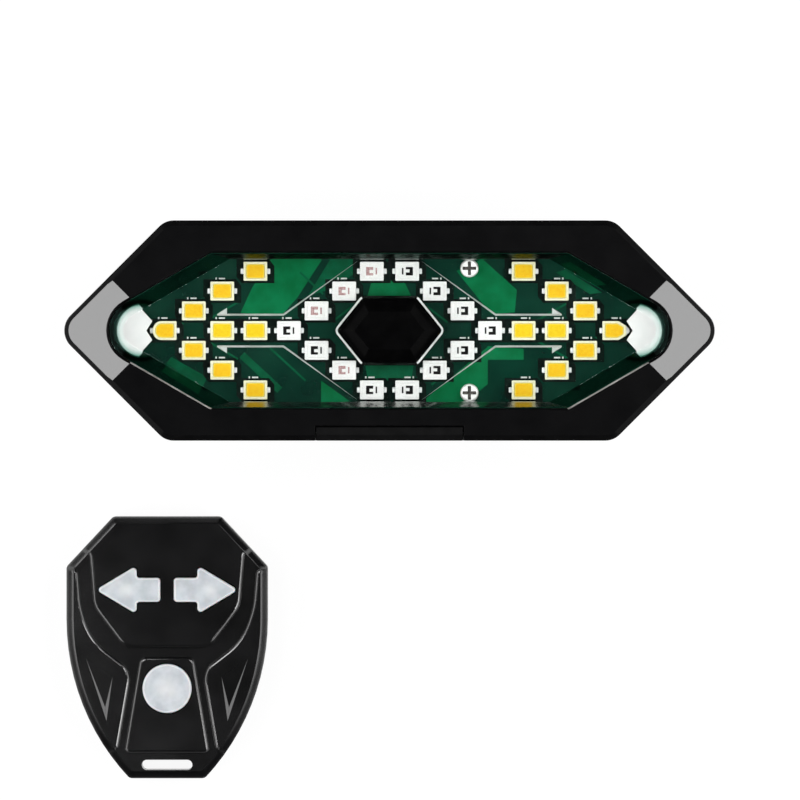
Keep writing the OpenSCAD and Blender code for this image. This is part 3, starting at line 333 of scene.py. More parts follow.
def edit(piece, mode):
    """Opens the piece in edit mode with nothing selected."""
    only(piece)
    bpy.ops.object.mode_set(mode="EDIT")
    bpy.ops.mesh.select_mode(type=mode)
    bpy.ops.mesh.select_all(action="DESELECT")
    return bmesh.from_edit_mesh(piece.data)


def cut(piece, point, normal):
    """Cuts off the side of the piece that the normal points to, and closes the cut."""
    edit(piece, "FACE")
    bpy.ops.mesh.select_all(action="SELECT")
    bpy.ops.mesh.bisect(
        plane_co=point, plane_no=Vector(normal).normalized(), use_fill=True, clear_outer=True)
    bpy.ops.object.mode_set(mode="OBJECT")


def join(name, pieces):
    """Makes the pieces one, with their places in its mesh."""
    only(*pieces)
    bpy.ops.object.join()
    bpy.context.object.name = name
    bpy.ops.object.transform_apply(location=True, rotation=True, scale=True)
    return bpy.context.object


def spots(node):
    """The middle of the foot of each separate part of a CAD node, read from a copy that is taken apart."""
    edit(copy_of(node, "spots"), "VERT")
    bpy.ops.mesh.separate(type="LOOSE")
    bpy.ops.object.mode_set(mode="OBJECT")
    found = []
    for part in list(bpy.context.selected_objects):
        low = Vector([min(values) for values in zip(*part.bound_box)])
        high = Vector([max(values) for values in zip(*part.bound_box)])
        found.append(Vector(((low.x + high.x) / 2, (low.y + high.y) / 2, low.z)))
        bpy.data.objects.remove(part)
    return found


board_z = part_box("led_board")[1].z
lamp_place = Vector((0, lamp_y, board_z))


def on_board(x, y, z=0.0):
    """A place on the board's face, or at a height over it, in metres."""
    return lamp_place + Vector((x, y, z)) * mm


def area(thick, *corners):
    """A thin area on the board, cut from a block along the lines between its corners, anticlockwise."""
    spare = 1
    low = [min(corner[i] for corner in corners) - spare for i in (0, 1)]
    high = [max(corner[i] for corner in corners) + spare for i in (0, 1)]
    piece = block("area", on_board(*low), on_board(*high, thick))
    for (x0, y0), (x1, y1) in zip(corners, corners[1:] + corners[:1]):
        cut(piece, on_board(x0, y0), (y1 - y0, x0 - x1, 0))
    return piece


def trace(start, end, width, thick):
    """A straight track on the board."""
    a, b = on_board(*start), on_board(*end)
    half = (b - a).length / 2
    piece = block("trace", (-half, -width * mm / 2, 0), (half, width * mm / 2, thick * mm))
    piece.location = (a + b) / 2
    piece.rotation_euler.z = atan2(b.y - a.y, b.x - a.x)
    return piece


def lay(name, pieces, material):
    """Joins thin pieces into one layer on the board."""
    layer = join(name, pieces)
    coat(layer, material)
    fit(layer, "lamp", "green_board")


green_mask = finish("green_board", {"IOR": 1.5})
tint(green_mask, 6 * mm, (0.001, 0.024, 0.015), (0.002, 0.038, 0.022))
grain(green_mask, 0.5 * mm, 0.0006 * mm, 0.08, 0.14)
dress("green_board", green_mask, "led_board", "remote_board")

# each layer is a little thicker than the ones that it crosses
copper_thick, strip_thick, track_thick = 0.02, 0.022, 0.024
line_thick, shade_patch_thick, tick_thick = 0.026, 0.03, 0.036
copper_mask = finish("copper_areas", {"IOR": 1.5})
tint(copper_mask, 3 * mm, (0.001, 0.125, 0.038), (0.003, 0.175, 0.062))
grain(copper_mask, 0.4 * mm, 0.0006 * mm, 0.08, 0.14)
wide_areas = (
    ((-22.0, 2.6), (-16.0, 2.2), (-13.6, 4.9), (-9.9, 10.6), (-17.6, 10.6), (-20.3, 6.3)),
    ((9.9, 8.8), (15.0, 2.4), (18.5, 2.7), (18.8, 6.0), (13.7, 10.6)),
    ((-10.1, -11.2), (-4.8, -11.2), (-10.1, -7.4)),
    ((4.0, -11.2), (10.5, -11.2), (14.5, -7.9), (14.5, -2.4)),
    ((14.5, -4.3), (19.8, -4.3), (19.8, -2.7), (14.5, -2.3)),
    ((-3.3, 4.9), (3.3, 4.9), (2.1, 7.4), (-2.6, 7.4)),
)
lay("copper_areas", [area(copper_thick, *corners) for corners in wide_areas], copper_mask)

track_mask = finish("copper_tracks", {"IOR": 1.5})
tint(track_mask, 2 * mm, (0.001, 0.075, 0.03), (0.002, 0.105, 0.045))
grain(track_mask, 0.4 * mm, 0.0006 * mm, 0.08, 0.14)
narrow_areas = (
    ((-12.0, 5.2), (-9.0, 6.0), (-5.2, 8.4), (-5.2, 10.6), (-8.7, 10.6)),
    ((-3.2, -7.4), (3.2, -7.4), (3.6, -4.9), (-3.6, -4.9)),
    ((-33.0, -4.9), (-27.6, -8.3), (-26.9, -6.9), (-32.2, -3.9)),
    ((24.6, 8.6), (29.6, 5.4), (31.4, 5.6), (26.0, 9.0)),
)
lines = (
    ((-17.6, -2.6), (-12.4, -7.4)), ((-26.6, 1.7), (-22.4, 4.2)), ((-26.6, -1.7), (-22.4, -4.2)),
    ((21.9, 1.6), (27.2, 4.6)), ((21.9, -1.6), (27.2, -4.6)), ((6.2, -8.0), (9.4, -5.4)),
    ((-5.6, 3.5), (-8.6, 1.2)), ((5.6, 3.5), (8.6, 1.2)), ((-30.5, 0.9), (-31.6, 2.6)),
    ((30.5, -0.9), (31.6, -2.6)), ((-13.2, 8.6), (-9.8, 5.4)),
)
line_width = 0.3
strip_start, strip_end, strip_width = (-21.8, -3.6), (-16.2, -8.8), 1.1
tracks = [area(track_thick, *corners) for corners in narrow_areas]
tracks += [trace(start, end, line_width, line_thick) for start, end in lines]
tracks += [trace(strip_start, strip_end, strip_width, strip_thick)]
lay("copper_tracks", tracks, track_mask)

# near-black patches under and round each LED are painted shade
led_shade_paint = finish("painted_led_shade", {"IOR": 1.5})
tint(led_shade_paint, 1.5 * mm, (0.001, 0.004, 0.003), (0.002, 0.012, 0.008))
grain(led_shade_paint, 0.3 * mm, 0.0006 * mm, 0.1, 0.16)
led_nodes = ("left_signal_leds", "right_signal_leds", "brake_leds")
led_spots = {node: spots(node) for node in led_nodes}
led_middles = [(place - lamp_place) / mm for node in led_nodes for place in led_spots[node]]
shade_patch_outline = ((-2.8, -0.8), (-2.0, -1.75), (2.8, -1.75), (2.8, 0.8), (2.0, 1.75), (-2.8, 1.75))
shade_patch_step = 0.0002
shade_patches = []
for middle in led_middles:
    thick = shade_patch_thick + shade_patch_step * len(shade_patches)
    shade_patches.append(area(thick, *((middle.x + x, middle.y + y) for x, y in shade_patch_outline)))
lay("painted_led_shade", shade_patches, led_shade_paint)

silk = finish("white_silk", {"IOR": 1.4})
tint(silk, 0.2 * mm, (0.62, 0.66, 0.62), (0.8, 0.82, 0.8))
grain(silk, 0.1 * mm, 0.003 * mm, 0.6, 0.7)
dash_start, dash_end, dash_up, dash_width = -0.4, 0.5, 1.85, 0.22
bar_out, bar_low, bar_high, bar_width = 0.9, 1.7, 2.0, 0.2
ticks = []
for middle in led_middles:
    side = 1 if middle.x > 0 else -1
    for start, end, width in (((dash_start, dash_up), (dash_end, dash_up), dash_width),
            ((bar_out, bar_low), (bar_out, bar_high), bar_width)):
        ends = [(middle.x + side * x, middle.y + y) for x, y in (start, end)]
        ticks.append(trace(*ends, width, tick_thick))
lay("silk_ticks", ticks, silk)


# The LEDs: white ceramic packages with a cup in the top and a tinned lead at each end. The signal LEDs' cups
# are filled with amber phosphor gel. The brake LEDs' are shallow and hold a small die and a wire post.
# The sizes of an LED are in millimetres.
package_half, package_high, package_round = (1.75, 1.4), 1.1, 0.14
cup_wall, cup_taper, rim_round = 0.3, (0.9, 0.88, 1), 0.05
signal_cup, brake_cup = 0.4, 0.12
lead_root, lead_end, lead_half, lead_high, lead_round = 1.6, 2.19, 0.4, 0.25, 0.1
beak_end, beak_half, beak_high, beak_tip, beak_round = 2.34, 0.85, 0.8, 0.1, 0.06
gel_half, gel_low, gel_high, gel_corner, gel_round = (1.36, 1.06), 0.72, 1.04, 0.42, 0.16
die_low, die_high, die_round = 0.97, 1.03, 0.02
die_bars = ((-0.85, -0.35, -0.62, 0.62), (-0.35, 0.2, 0.18, 0.62), (-0.35, 0.2, -0.62, -0.28),
    (0.55, 0.78, -0.48, 0.48))
hair = 0.01 * mm


def slot_of(piece, material):
    """The number of one of the piece's materials, or -1 for none."""
    return piece.data.materials.find(material.name) if material else -1


def bevel_edges(piece, wanted, width, steps=2, material=None):
    """Rounds the edges that pass the test, which gets an edge with its two faces, the lower-facing first."""
    mesh = edit(piece, "EDGE")
    for edge in mesh.edges:
        faces = sorted(edge.link_faces, key=lambda face: face.normal.z)
        if len(faces) == 2 and edge.calc_face_angle() > radians(5) and wanted(edge, *faces):
            edge.select_set(True)
    bmesh.update_edit_mesh(piece.data)
    bpy.ops.mesh.bevel(
        offset=width, segments=steps, affect="EDGES", loop_slide=False, material=slot_of(piece, material))
    bpy.ops.object.mode_set(mode="OBJECT")


def select_faces(piece, wanted):
    """Opens the piece with the faces selected that pass the test, which gets a face's middle and normal."""
    mesh = edit(piece, "FACE")
    for face in mesh.faces:
        face.select_set(wanted(face.calc_center_median(), face.normal))
    bmesh.update_edit_mesh(piece.data)


def paint(piece, material, wanted):
    """Gives one of the piece's materials to the faces that pass the test."""
    slot = slot_of(piece, material)
    for face in piece.data.polygons:
        if wanted(face.center, face.normal):
            face.material_index = slot


def upright(edge, *faces):
    """An edge that stands up from the board."""
    a, b = (vertex.co for vertex in edge.verts)
    return (a.xy - b.xy).length < hair


def top_edge(edge, low_face, high_face):
    """An edge of a face that looks up."""
    return high_face.normal.z > 0.9


def pull_point(piece, start, share):
    """Draws the end of the piece beyond a place on x in to a share of its width."""
    mesh = edit(piece, "VERT")
    for vertex in mesh.verts:
        vertex.select_set(vertex.co.x > start)
    bmesh.update_edit_mesh(piece.data)
    bpy.ops.transform.resize(value=(1, share, 1), center_override=(0, 0, 0))
    bpy.ops.object.mode_set(mode="OBJECT")


def tablet(name, half, low, high, form, corner=0):
    """A flat block with rounded corners: plain, with one end round, or with one end drawn in to a neck."""
    x, y = half[0] * mm, half[1] * mm
    piece = block(name, (-x, -y, low * mm), (x, y, high * mm))
    if form == "round":
        end_radius = 0.9 * y
        bevel_edges(piece, lambda edge, *faces: upright(edge) and edge.verts[0].co.x < 0, end_radius, 6)
    if form == "neck":
        neck_start, neck_end, neck_share = 0.35 * x, 0.9 * x, 0.5
        edit(piece, "VERT")
        bpy.ops.mesh.select_all(action="SELECT")
        bpy.ops.mesh.bisect(plane_co=(neck_start, 0, 0), plane_no=(1, 0, 0))
        bpy.ops.object.mode_set(mode="OBJECT")
        pull_point(piece, neck_end, neck_share)
    if corner:
        bevel_edges(piece, lambda edge, *faces: upright(edge) and edge.calc_face_angle() > radians(60),
            corner * mm, 3)
    return piece


def cup_rim(edge, low_face, high_face):
    """An edge of a package's rim, on its outside or at its cup."""
    return top_edge(edge, low_face, high_face) and low_face.normal.z > -0.1


def led(name, cup_depth, rim, form="plain"):
    """One LED at the origin: its package with a cup, its leads, and a beak on the one that has a neck."""
    body = tablet(name, package_half, 0, package_high, form)
    coat(body, led_white, rim)
    select_faces(body, lambda place, normal: normal.z > 0.9)
    bpy.ops.mesh.inset(thickness=cup_wall * mm)
    bpy.ops.mesh.extrude_region_move(TRANSFORM_OT_translate={"value": (0, 0, -cup_depth * mm)})
    bpy.ops.transform.resize(value=cup_taper, center_override=(0, 0, 0))
    bpy.ops.object.mode_set(mode="OBJECT")
    bevel_edges(body, lambda edge, *faces: upright(edge) and edge.calc_length() > mm, package_round * mm, 3)
    bevel_edges(body, cup_rim, rim_round * mm)
    paint(body, rim, lambda place, normal: normal.z > 0.2)
    parts = []
    if form == "neck":
        beak = block(
            "beak", (lead_root * mm, -beak_half * mm, 0), (beak_end * mm, beak_half * mm, beak_high * mm))
        coat(beak, led_white)
        pull_point(beak, (lead_root + beak_end) / 2 * mm, beak_tip)
        bevel_edges(beak, top_edge, beak_round * mm)
        parts.append(beak)
    for side in (-1, 1):
        near, far = sorted((side * lead_root * mm, side * lead_end * mm))
        lead = block("lead", (near, -lead_half * mm, 0), (far, lead_half * mm, lead_high * mm))
        coat(lead, tin)
        bevel_edges(lead, lambda edge, *faces: top_edge(edge, *faces) or upright(edge), lead_round * mm)
        parts.append(lead)
    whole = join(name, parts + [body])
    smooth(whole, 30)
    return whole


def repeat(piece, places):
    """Copies of the piece at the given places. The piece itself goes."""
    copies = []
    for place in places:
        only(piece)
        bpy.ops.object.duplicate()
        copies.append(bpy.context.object)
        copies[-1].location = place
    bpy.data.objects.remove(piece)
    return copies


def phosphor(name, dark, light):
    """Silicone gel, cloudy with phosphor powder."""
    material = finish(name, {"IOR": 1.41, "Specular IOR Level": 0.2})
    tint(material, 0.35 * mm, dark, light)
    grain(material, 0.06 * mm, 0.003 * mm, 0.35, 0.5)
    return material


led_white = finish("led_package", {"IOR": 1.5})
tint(led_white, 0.5 * mm, (0.9, 0.9, 0.88), (0.95, 0.95, 0.94))
grain(led_white, 0.1 * mm, 0.002 * mm, 0.35, 0.5)
led_cream = finish("led_frame", {"IOR": 1.5})
tint(led_cream, 0.5 * mm, (0.89, 0.87, 0.58), (0.93, 0.92, 0.7))
grain(led_cream, 0.1 * mm, 0.002 * mm, 0.35, 0.5)
tin = finish("tinned_lead", {"Metallic": 0.3})
tint(tin, 0.3 * mm, (0.75, 0.76, 0.76), (0.88, 0.88, 0.88))
grain(tin, 0.15 * mm, 0.006 * mm, 0.3, 0.4)
amber_gel = phosphor("amber_phosphor", (0.94, 0.52, 0.006), (0.97, 0.6, 0.012))
yellow_gel = phosphor("yellow_phosphor", (0.89, 0.585, 0.006), (0.93, 0.66, 0.012))
pale_gel = phosphor("pale_phosphor", (0.87, 0.68, 0.08), (0.9, 0.75, 0.16))

for name, form in (("left", "round"), ("right", "neck")):
    tip, *others = sorted(led_spots[name + "_signal_leds"], key=lambda place: -abs(place.x))
    on_axis = [place for place in others if abs(place.y - lamp_y) < mm]
    off_axis = [place for place in others if abs(place.y - lamp_y) > mm]
    packages = repeat(led("led", signal_cup, led_cream), others)
    packages += repeat(led("tip_led", signal_cup, led_cream, form), [tip])
    fit(join(name + "_led_packages", packages), "lamp", "led_package", name + "_signal_leds")
    gels = []
    for material, places, shape in (
            (amber_gel, off_axis, "plain"), (yellow_gel, on_axis, "plain"), (amber_gel, [tip], form)):
        gel = tablet("gel", gel_half, gel_low, gel_high, shape, gel_corner)
        coat(gel, material, pale_gel)
        bevel_edges(gel, top_edge, gel_round * mm, 2, pale_gel)
        smooth(gel)
        gels += repeat(gel, places)
    fit(join(name + "_led_gels", gels), "lamp", "amber_phosphor", name + "_signal_phosphors")

brake = join("brake_led_packages", repeat(led("brake_led", brake_cup, led_white), led_spots["brake_leds"]))
fit(brake, "lamp", "led_package", "brake_leds")

red_die = finish("red_die", {"IOR": 1.5})
tint(red_die, 0.25 * mm, (0.3, 0.14, 0.135), (0.6, 0.4, 0.4))
grain(red_die, 0.08 * mm, 0.003 * mm, 0.25, 0.4)
dark_die = finish("dark_die", {"IOR": 1.5, "Specular IOR Level": 0.1})
tint(dark_die, 0.25 * mm, (0.0004, 0.0004, 0.0004), (0.003, 0.002, 0.002))
grain(dark_die, 0.08 * mm, 0.003 * mm, 0.25, 0.4)
lower_red_x = -6.7 * mm


def has_red_die(place):
    """Whether the brake LED at a place from the lamp's middle is one that shows a red die."""
    upper_left = place.x < 0 and place.y > mm
    lower_left = abs(place.x - lower_red_x) < mm and place.y < 0
    return upper_left or lower_left


dies = []
for material, turn, wanted in (
        (red_die, 0, has_red_die),
        (dark_die, 0, lambda place: place.x < 0 and not has_red_die(place)),
        (dark_die, pi, lambda place: place.x > 0)):
    bars = [block("bar", (x0 * mm, y0 * mm, die_low * mm), (x1 * mm, y1 * mm, die_high * mm))
        for x0, x1, y0, y1 in die_bars]
    mark = join("mark", bars)
    bevel_edges(mark, top_edge, die_round * mm, 1)
    mark.rotation_euler.z = turn
    coat(mark, material)
    dies += repeat(mark, [place for place in led_spots["brake_leds"] if wanted(place - lamp_place)])
fit(join("brake_dies", dies), "lamp", "red_die", "brake_led_dies")


# The other parts on the board: chips, the blue receiver module with its straight copper aerial and the
# charging socket of stamped steel behind it, and the tact switch and the lens's spacer strips in front. The
# same finishes serve the like parts in the remote.
chip = finish("black_chip", {"IOR": 1.5})
tint(chip, 0.4 * mm, (0.02, 0.02, 0.022), (0.032, 0.032, 0.034))
grain(chip, 0.08 * mm, 0.006 * mm, 0.5, 0.6)
dress("black_chip", chip, "board_components", "remote_chip")

blue_mask = finish("blue_board", {"Coat Weight": 0.3, "Coat Roughness": 0.15})
tint(blue_mask, 1.5 * mm, (0.01, 0.05, 0.16), (0.02, 0.08, 0.22))
grain(blue_mask, 0.3 * mm, 0.003 * mm, 0.3, 0.4)
dress("blue_board", blue_mask, "radio_module")

copper = finish("copper_wire", {"Metallic": 1.0})
tint(copper, 0.5 * mm, (0.7, 0.33, 0.18), (0.85, 0.45, 0.28))
grain(copper, 0.2 * mm, 0.003 * mm, 0.25, 0.35)
dress("copper_wire", copper, "receiver_antenna")

steel = finish("steel", {"Metallic": 1.0})
tint(steel, 0.6 * mm, (0.55, 0.56, 0.57), (0.72, 0.72, 0.72))
grain(steel, 0.08 * mm, 0.002 * mm, 0.25, 0.38)
dress("steel", steel, "charging_port", "coin_cell")

dark_plastic = finish("dark_inner_plastic", {"IOR": 1.5})
tint(dark_plastic, 2 * mm, (0.015, 0.015, 0.015), (0.028, 0.028, 0.029))
grain(dark_plastic, 0.2 * mm, 0.004 * mm, 0.35, 0.5)
dress("dark_inner_plastic", dark_plastic, "lens_spacers", "power_switch", "charging_port_tongue",
    "key_switches", "left_key_plunger", "right_key_plunger", "mode_key_plunger")

red_plastic = finish("red_plunger", {"IOR": 1.5})
tint(red_plastic, 0.5 * mm, (0.3, 0.01, 0.01), (0.4, 0.02, 0.02))
grain(red_plastic, 0.2 * mm, 0.004 * mm, 0.35, 0.45)
dress("red_plunger", red_plastic, "power_switch_plunger")


# The two screws that hold the board: small bright steel pan heads with a cross slot, right of the button.
# The slots are punched, and their floors carry painted shade.
def level_at(edge, z):
    """Whether an edge lies level at a height."""
    return all(abs(vertex.co.z - z) < hair for vertex in edge.verts)


bright_steel = finish("bright_steel", {"Metallic": 0.4})
tint(bright_steel, 0.6 * mm, (0.8, 0.8, 0.78), (0.92, 0.92, 0.9))
grain(bright_steel, 0.12 * mm, 0.004 * mm, 0.3, 0.45)
# a dark colour that stands in for the shade at the bottom of the slots
slot_shade_paint = finish("slot_shade_paint", {"Specular IOR Level": 0.2})
tint(slot_shade_paint, 0.3 * mm, (0.02, 0.018, 0.016), (0.12, 0.11, 0.1))
grain(slot_shade_paint, 0.1 * mm, 0.004 * mm, 0.5, 0.6)
board_screws = copy_of("board_screws", "pan_head_screws", bright_steel, slot_shade_paint)
screw_middles = spots("board_screws")
screw_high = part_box("board_screws")[1]
head_reach = 0.9 * (screw_high.x - screw_middles[0].x)
head_round = 0.3 * mm


def head_rim(edge, *faces):
    """An edge round the top of a screw head, outside its slot."""
    middle = (edge.verts[0].co + edge.verts[1].co) / 2
    away = min((middle.xy - centre.xy).length for centre in screw_middles)
    return level_at(edge, screw_high.z) and away > head_reach


def slot_floor(place, normal):
    """A face at the bottom of a slot."""
    return normal.z > 0.9 and board_z < place.z < screw_high.z - 0.1 * mm


bevel_edges(board_screws, head_rim, head_round, 4)
# painted shade on the slot floors
paint(board_screws, slot_shade_paint, slot_floor)
smooth(board_screws, 30)
fit(board_screws, "lamp", "steel", "board_screws")


# The reflectors in the window's tips: glossy white plates, each moulded with a V-shaped mouth for the last
# LED of its arrow, on a foot that stands on the board.
white_plastic = finish("white_reflector", {"IOR": 1.5})
tint(white_plastic, 1.0 * mm, (0.9, 0.91, 0.9), (0.95, 0.95, 0.94))
grain(white_plastic, 0.4 * mm, 0.006 * mm, 0.15, 0.25)
rounded_copy("tip_reflectors", "white_tips", white_plastic, 0.12 * mm, "lamp", "white_reflector")


# The lens: one clear polycarbonate moulding with a bevelled face, a hole for the button, and prism pads on
# its back. The pads' edges and points and the hole's slanting edges are matt, with a pale painted highlight.
# The hole's level edges and the lens's upper long edge carry near-black painted shade, its lower long edge
# grey painted shade, and its pointed ends green painted light and shade.
clear = finish("clear_plastic", {"IOR": 1.49, "Transmission Weight": 1.0, "Specular IOR Level": 0.5})
tint(clear, 12 * mm, (0.93, 0.97, 0.95), (0.97, 0.99, 0.98))
grain(clear, 3 * mm, 0.0004 * mm, 0.0, 0.015)
# a pale colour that stands in for highlights on the lens's edges
lens_highlight_paint = finish("matt_lens_edge_painted_highlight", {"IOR": 1.49, "Transmission Weight": 0.35})
tint(lens_highlight_paint, 2 * mm, (0.6, 0.66, 0.62), (0.85, 0.88, 0.86))
grain(lens_highlight_paint, 0.15 * mm, 0.01 * mm, 0.4, 0.6)
# grey and near-black colours that stand in for shade on the lens's edges
grey_shade_paint = finish("lens_edge_grey_painted_shade", {"IOR": 1.49, "Transmission Weight": 1.0})
tint(grey_shade_paint, 6 * mm, (0.1, 0.11, 0.1), (0.15, 0.16, 0.15))
grain(grey_shade_paint, 1.5 * mm, 0.001 * mm, 0.2, 0.28)
dark_shade_paint = finish("lens_edge_dark_painted_shade", {"IOR": 1.49, "Transmission Weight": 1.0, "Specular IOR Level": 0.2})
tint(dark_shade_paint, 6 * mm, (0.002, 0.004, 0.003), (0.004, 0.008, 0.006))
grain(dark_shade_paint, 1.5 * mm, 0.001 * mm, 0.2, 0.28)
end_light_shade_paint = finish("lens_end_painted_light_and_shade", {"IOR": 1.49, "Transmission Weight": 1.0})
grain(end_light_shade_paint, 1.5 * mm, 0.001 * mm, 0.03, 0.08)
lens = copy_of("clear_lens", "moulded_lens", clear, lens_highlight_paint, grey_shade_paint, end_light_shade_paint, dark_shade_paint)
lens_low, lens_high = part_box("clear_lens")
button_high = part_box("power_button")[1]

# the pointed ends carry painted light and shade: a pale painted glow near the middle of the tip's reflector,
# then deep green and near-black painted shade with the distance from it, and a dark green further out; the
# same painted greens tint their reflections
tip_middle = (36.75 * mm, lamp_y, lens_high.z)
painted_fade_start, painted_fade_end = 2.5 * mm, 5 * mm
tree = end_light_shade_paint.node_tree
place = add_node(tree, "TexCoord").outputs["Object"]
folded = add_node(tree, "VectorMath", {0: place}, operation="ABSOLUTE").outputs[0]
away = add_node(tree, "VectorMath", {0: folded, 1: tip_middle}, operation="DISTANCE").outputs["Value"]
share = add_node(tree, "MapRange", {"Value": away, "From Min": painted_fade_start, "From Max": painted_fade_end}).outputs[0]
drive(end_light_shade_paint, "Base Color", ramp(tree, share,
    (0.15, (0.8, 0.92, 0.88)), (0.36, (0.25, 0.5, 0.42)), (0.5, (0.015, 0.14, 0.08)),
    (0.64, (0.0005, 0.004, 0.0025)), (0.8, (0.0004, 0.003, 0.002)), (1.0, (0.02, 0.085, 0.06))))
drive(end_light_shade_paint, "Specular Tint", ramp(tree, share,
    (0.3, (0.35, 0.7, 0.6)), (0.48, (0.12, 0.36, 0.28)), (0.66, (0.005, 0.015, 0.012)),
    (1.0, (0.05, 0.12, 0.1))))

pad_reach, pad_point, pad_bevel = 10.2 * mm, 24.0 * mm, 0.28 * mm
hole_round, face_round = 0.3 * mm, 0.1 * mm


def by_hole(place):
    """Whether a place is at the button's hole."""
    return abs(place.x) < button_high.x + mm and abs(place.y - lamp_y) < button_high.y - lamp_y + mm


def pad_edge(edge, *faces):
    """An edge of a prism pad's back."""
    return level_at(edge, lens_low.z) and all(abs(vertex.co.y - lamp_y) < pad_reach for vertex in edge.verts)


def pad_back(place, normal):
    """The back of a prism pad."""
    return normal.z < -0.9 and abs(place.z - lens_low.z) < hair


def hole_edge(edge, *faces):
    """An edge of the lens's face at the hole."""
    return level_at(edge, lens_high.z) and by_hole(edge.verts[0].co)


def outer_edge(edge, *faces):
    """An edge of the lens's face away from the hole."""
    return level_at(edge, lens_high.z) and not by_hole(edge.verts[0].co)


def hole_bevel(place, normal):
    """A sloping face round the hole."""
    return by_hole(place) and 0.2 < normal.z < 0.9


def outer_bevel(place, normal):
    """A sloping face round the lens."""
    return not by_hole(place) and 0.2 < normal.z < 0.95


# pale painted highlight on the pads' edges, and beyond these cuts on their points
bevel_edges(lens, pad_edge, pad_bevel, 1, lens_highlight_paint)
for x in (-pad_point, pad_point):
    select_faces(lens, pad_back)
    bpy.ops.mesh.bisect(plane_co=(x, 0, 0), plane_no=(1, 0, 0))
    bpy.ops.object.mode_set(mode="OBJECT")
paint(lens, lens_highlight_paint, lambda place, normal: pad_back(place, normal) and abs(place.x) > pad_point)
bevel_edges(lens, hole_edge, hole_round, 1)
# near-black painted shade on the hole's edges
paint(lens, dark_shade_paint, hole_bevel)
# painted highlight on the hole's slanting edges
paint(lens, lens_highlight_paint, lambda place, normal: hole_bevel(place, normal) and abs(normal.x) > 0.3)
bevel_edges(lens, outer_edge, face_round)
# grey painted shade on the lens's edges, and near-black painted shade on its upper long edge
paint(lens, grey_shade_paint, outer_bevel)
paint(lens, dark_shade_paint, lambda place, normal: outer_bevel(place, normal) and normal.y > 0)
# painted light and shade on the pointed ends
paint(lens, end_light_shade_paint, lambda place, normal: outer_bevel(place, normal) and abs(normal.x) > 0.15)
smooth(lens, 20)
lens.visible_shadow = False
lens.visible_diffuse = False
fit(lens, "lamp", "clear_plastic", "clear_lens")


# The power button: a six-sided cap of deep black plastic with sloping sides. It stands in the hole of the
# lens and presses on the switch under it.
button_black = finish("button_black", {"IOR": 1.5, "Specular IOR Level": 0.02})
tint(button_black, 2 * mm, (0.001, 0.001, 0.0011), (0.0018, 0.0018, 0.0019))
grain(button_black, 0.3 * mm, 0.0006 * mm, 0.22, 0.3)
rounded_copy("power_button", "hexagon_button", button_black, 0.12 * mm, "power_button", "gloss_black_plastic",
    angle=20)


# The front bezel: a gloss black frame that clamps the lens. Each tip has two facets that slope to the point,
# and the frame's edges are a deeper, duller black than its face. A narrow rounded edge runs round the window,
# with painted highlights on its lower slants.
gloss_black = finish("gloss_black", {"IOR": 1.5})
tint(gloss_black, 5 * mm, (0.003, 0.003, 0.0033), (0.0045, 0.0045, 0.0048))
grain(gloss_black, 2.5 * mm, 0.0008 * mm, 0.06, 0.11)
deep_black = finish("deep_black", {"IOR": 1.5, "Specular IOR Level": 0.07})
tint(deep_black, 2 * mm, (0.0022, 0.0022, 0.0024), (0.0035, 0.0035, 0.0037))
grain(deep_black, 0.3 * mm, 0.0006 * mm, 0.22, 0.3)
# a pale grey that stands in for a highlight on the window's edge
slant_highlight_paint = finish("slant_highlight_paint", {"IOR": 1.5})
tint(slant_highlight_paint, 1.5 * mm, (0.2, 0.19, 0.18), (0.42, 0.4, 0.39))
grain(slant_highlight_paint, 0.2 * mm, 0.002 * mm, 0.3, 0.4)
bezel = copy_of("front_bezel", "gloss_frame", gloss_black, deep_black, slant_highlight_paint)
window_half, slant_start = 12.5 * mm, 4.8 * mm
window_round, tip_round, edge_round = 0.35 * mm, 0.65 * mm, 0.2 * mm
nearly_level = 0.985
wide = 3 * mm * mm


def inward(face):
    """Whether a face looks in at the window."""
    middle = face.calc_center_median() - lamp_place
    return middle.x * face.normal.x + middle.y * face.normal.y < 0 and abs(middle.y) < window_half


def window_edge(edge, low_face, high_face):
    """A front edge of the window."""
    return high_face.normal.z > 0.97 and abs(low_face.normal.z) < 0.1 and inward(low_face)


def tip_edge(edge, low_face, high_face):
    """An outer edge of a sloping facet."""
    sloping = nearly_level < high_face.normal.z < 0.997
    return sloping and abs(low_face.normal.z) < 0.1 and not inward(low_face)


def lower_slant(place, normal):
    """A face on the rounded edge of the window, along its two lower slants."""
    out = place - lamp_place
    slanting = abs(normal.x) > 0.15 and 0.1 < normal.z < 0.96
    return slanting and -window_half < out.y < -slant_start and out.x * normal.x < 0 and normal.y > 0


def keep_flat(piece):
    """Keeps the level faces of a smoothly shaded piece flat up to their edges."""
    mesh = edit(piece, "EDGE")
    for edge in mesh.edges:
        if len(edge.link_faces) == 2 and max(face.normal.z for face in edge.link_faces) > nearly_level:
            edge.select_set(edge.calc_face_angle() > radians(2))
    bmesh.update_edit_mesh(piece.data)
    bpy.ops.mesh.mark_sharp()
    bpy.ops.object.mode_set(mode="OBJECT")
    apply(piece, "WEIGHTED_NORMAL", keep_sharp=True)


bevel_edges(bezel, window_edge, window_round, 4)
bevel_edges(bezel, tip_edge, tip_round, 4)
round_edges(bezel, edge_round, 3, 40)
for face in bezel.data.polygons:
    wide_and_level = face.normal.z > nearly_level and face.area > wide
    face.material_index = slot_of(bezel, gloss_black if wide_and_level else deep_black)
# painted highlight along the window's lower slants
paint(bezel, slant_highlight_paint, lower_slant)
only(bezel)
bpy.ops.object.shade_smooth_by_angle(angle=radians(40))
keep_flat(bezel)
fit(bezel, "lamp", "gloss_black_plastic", "front_bezel")


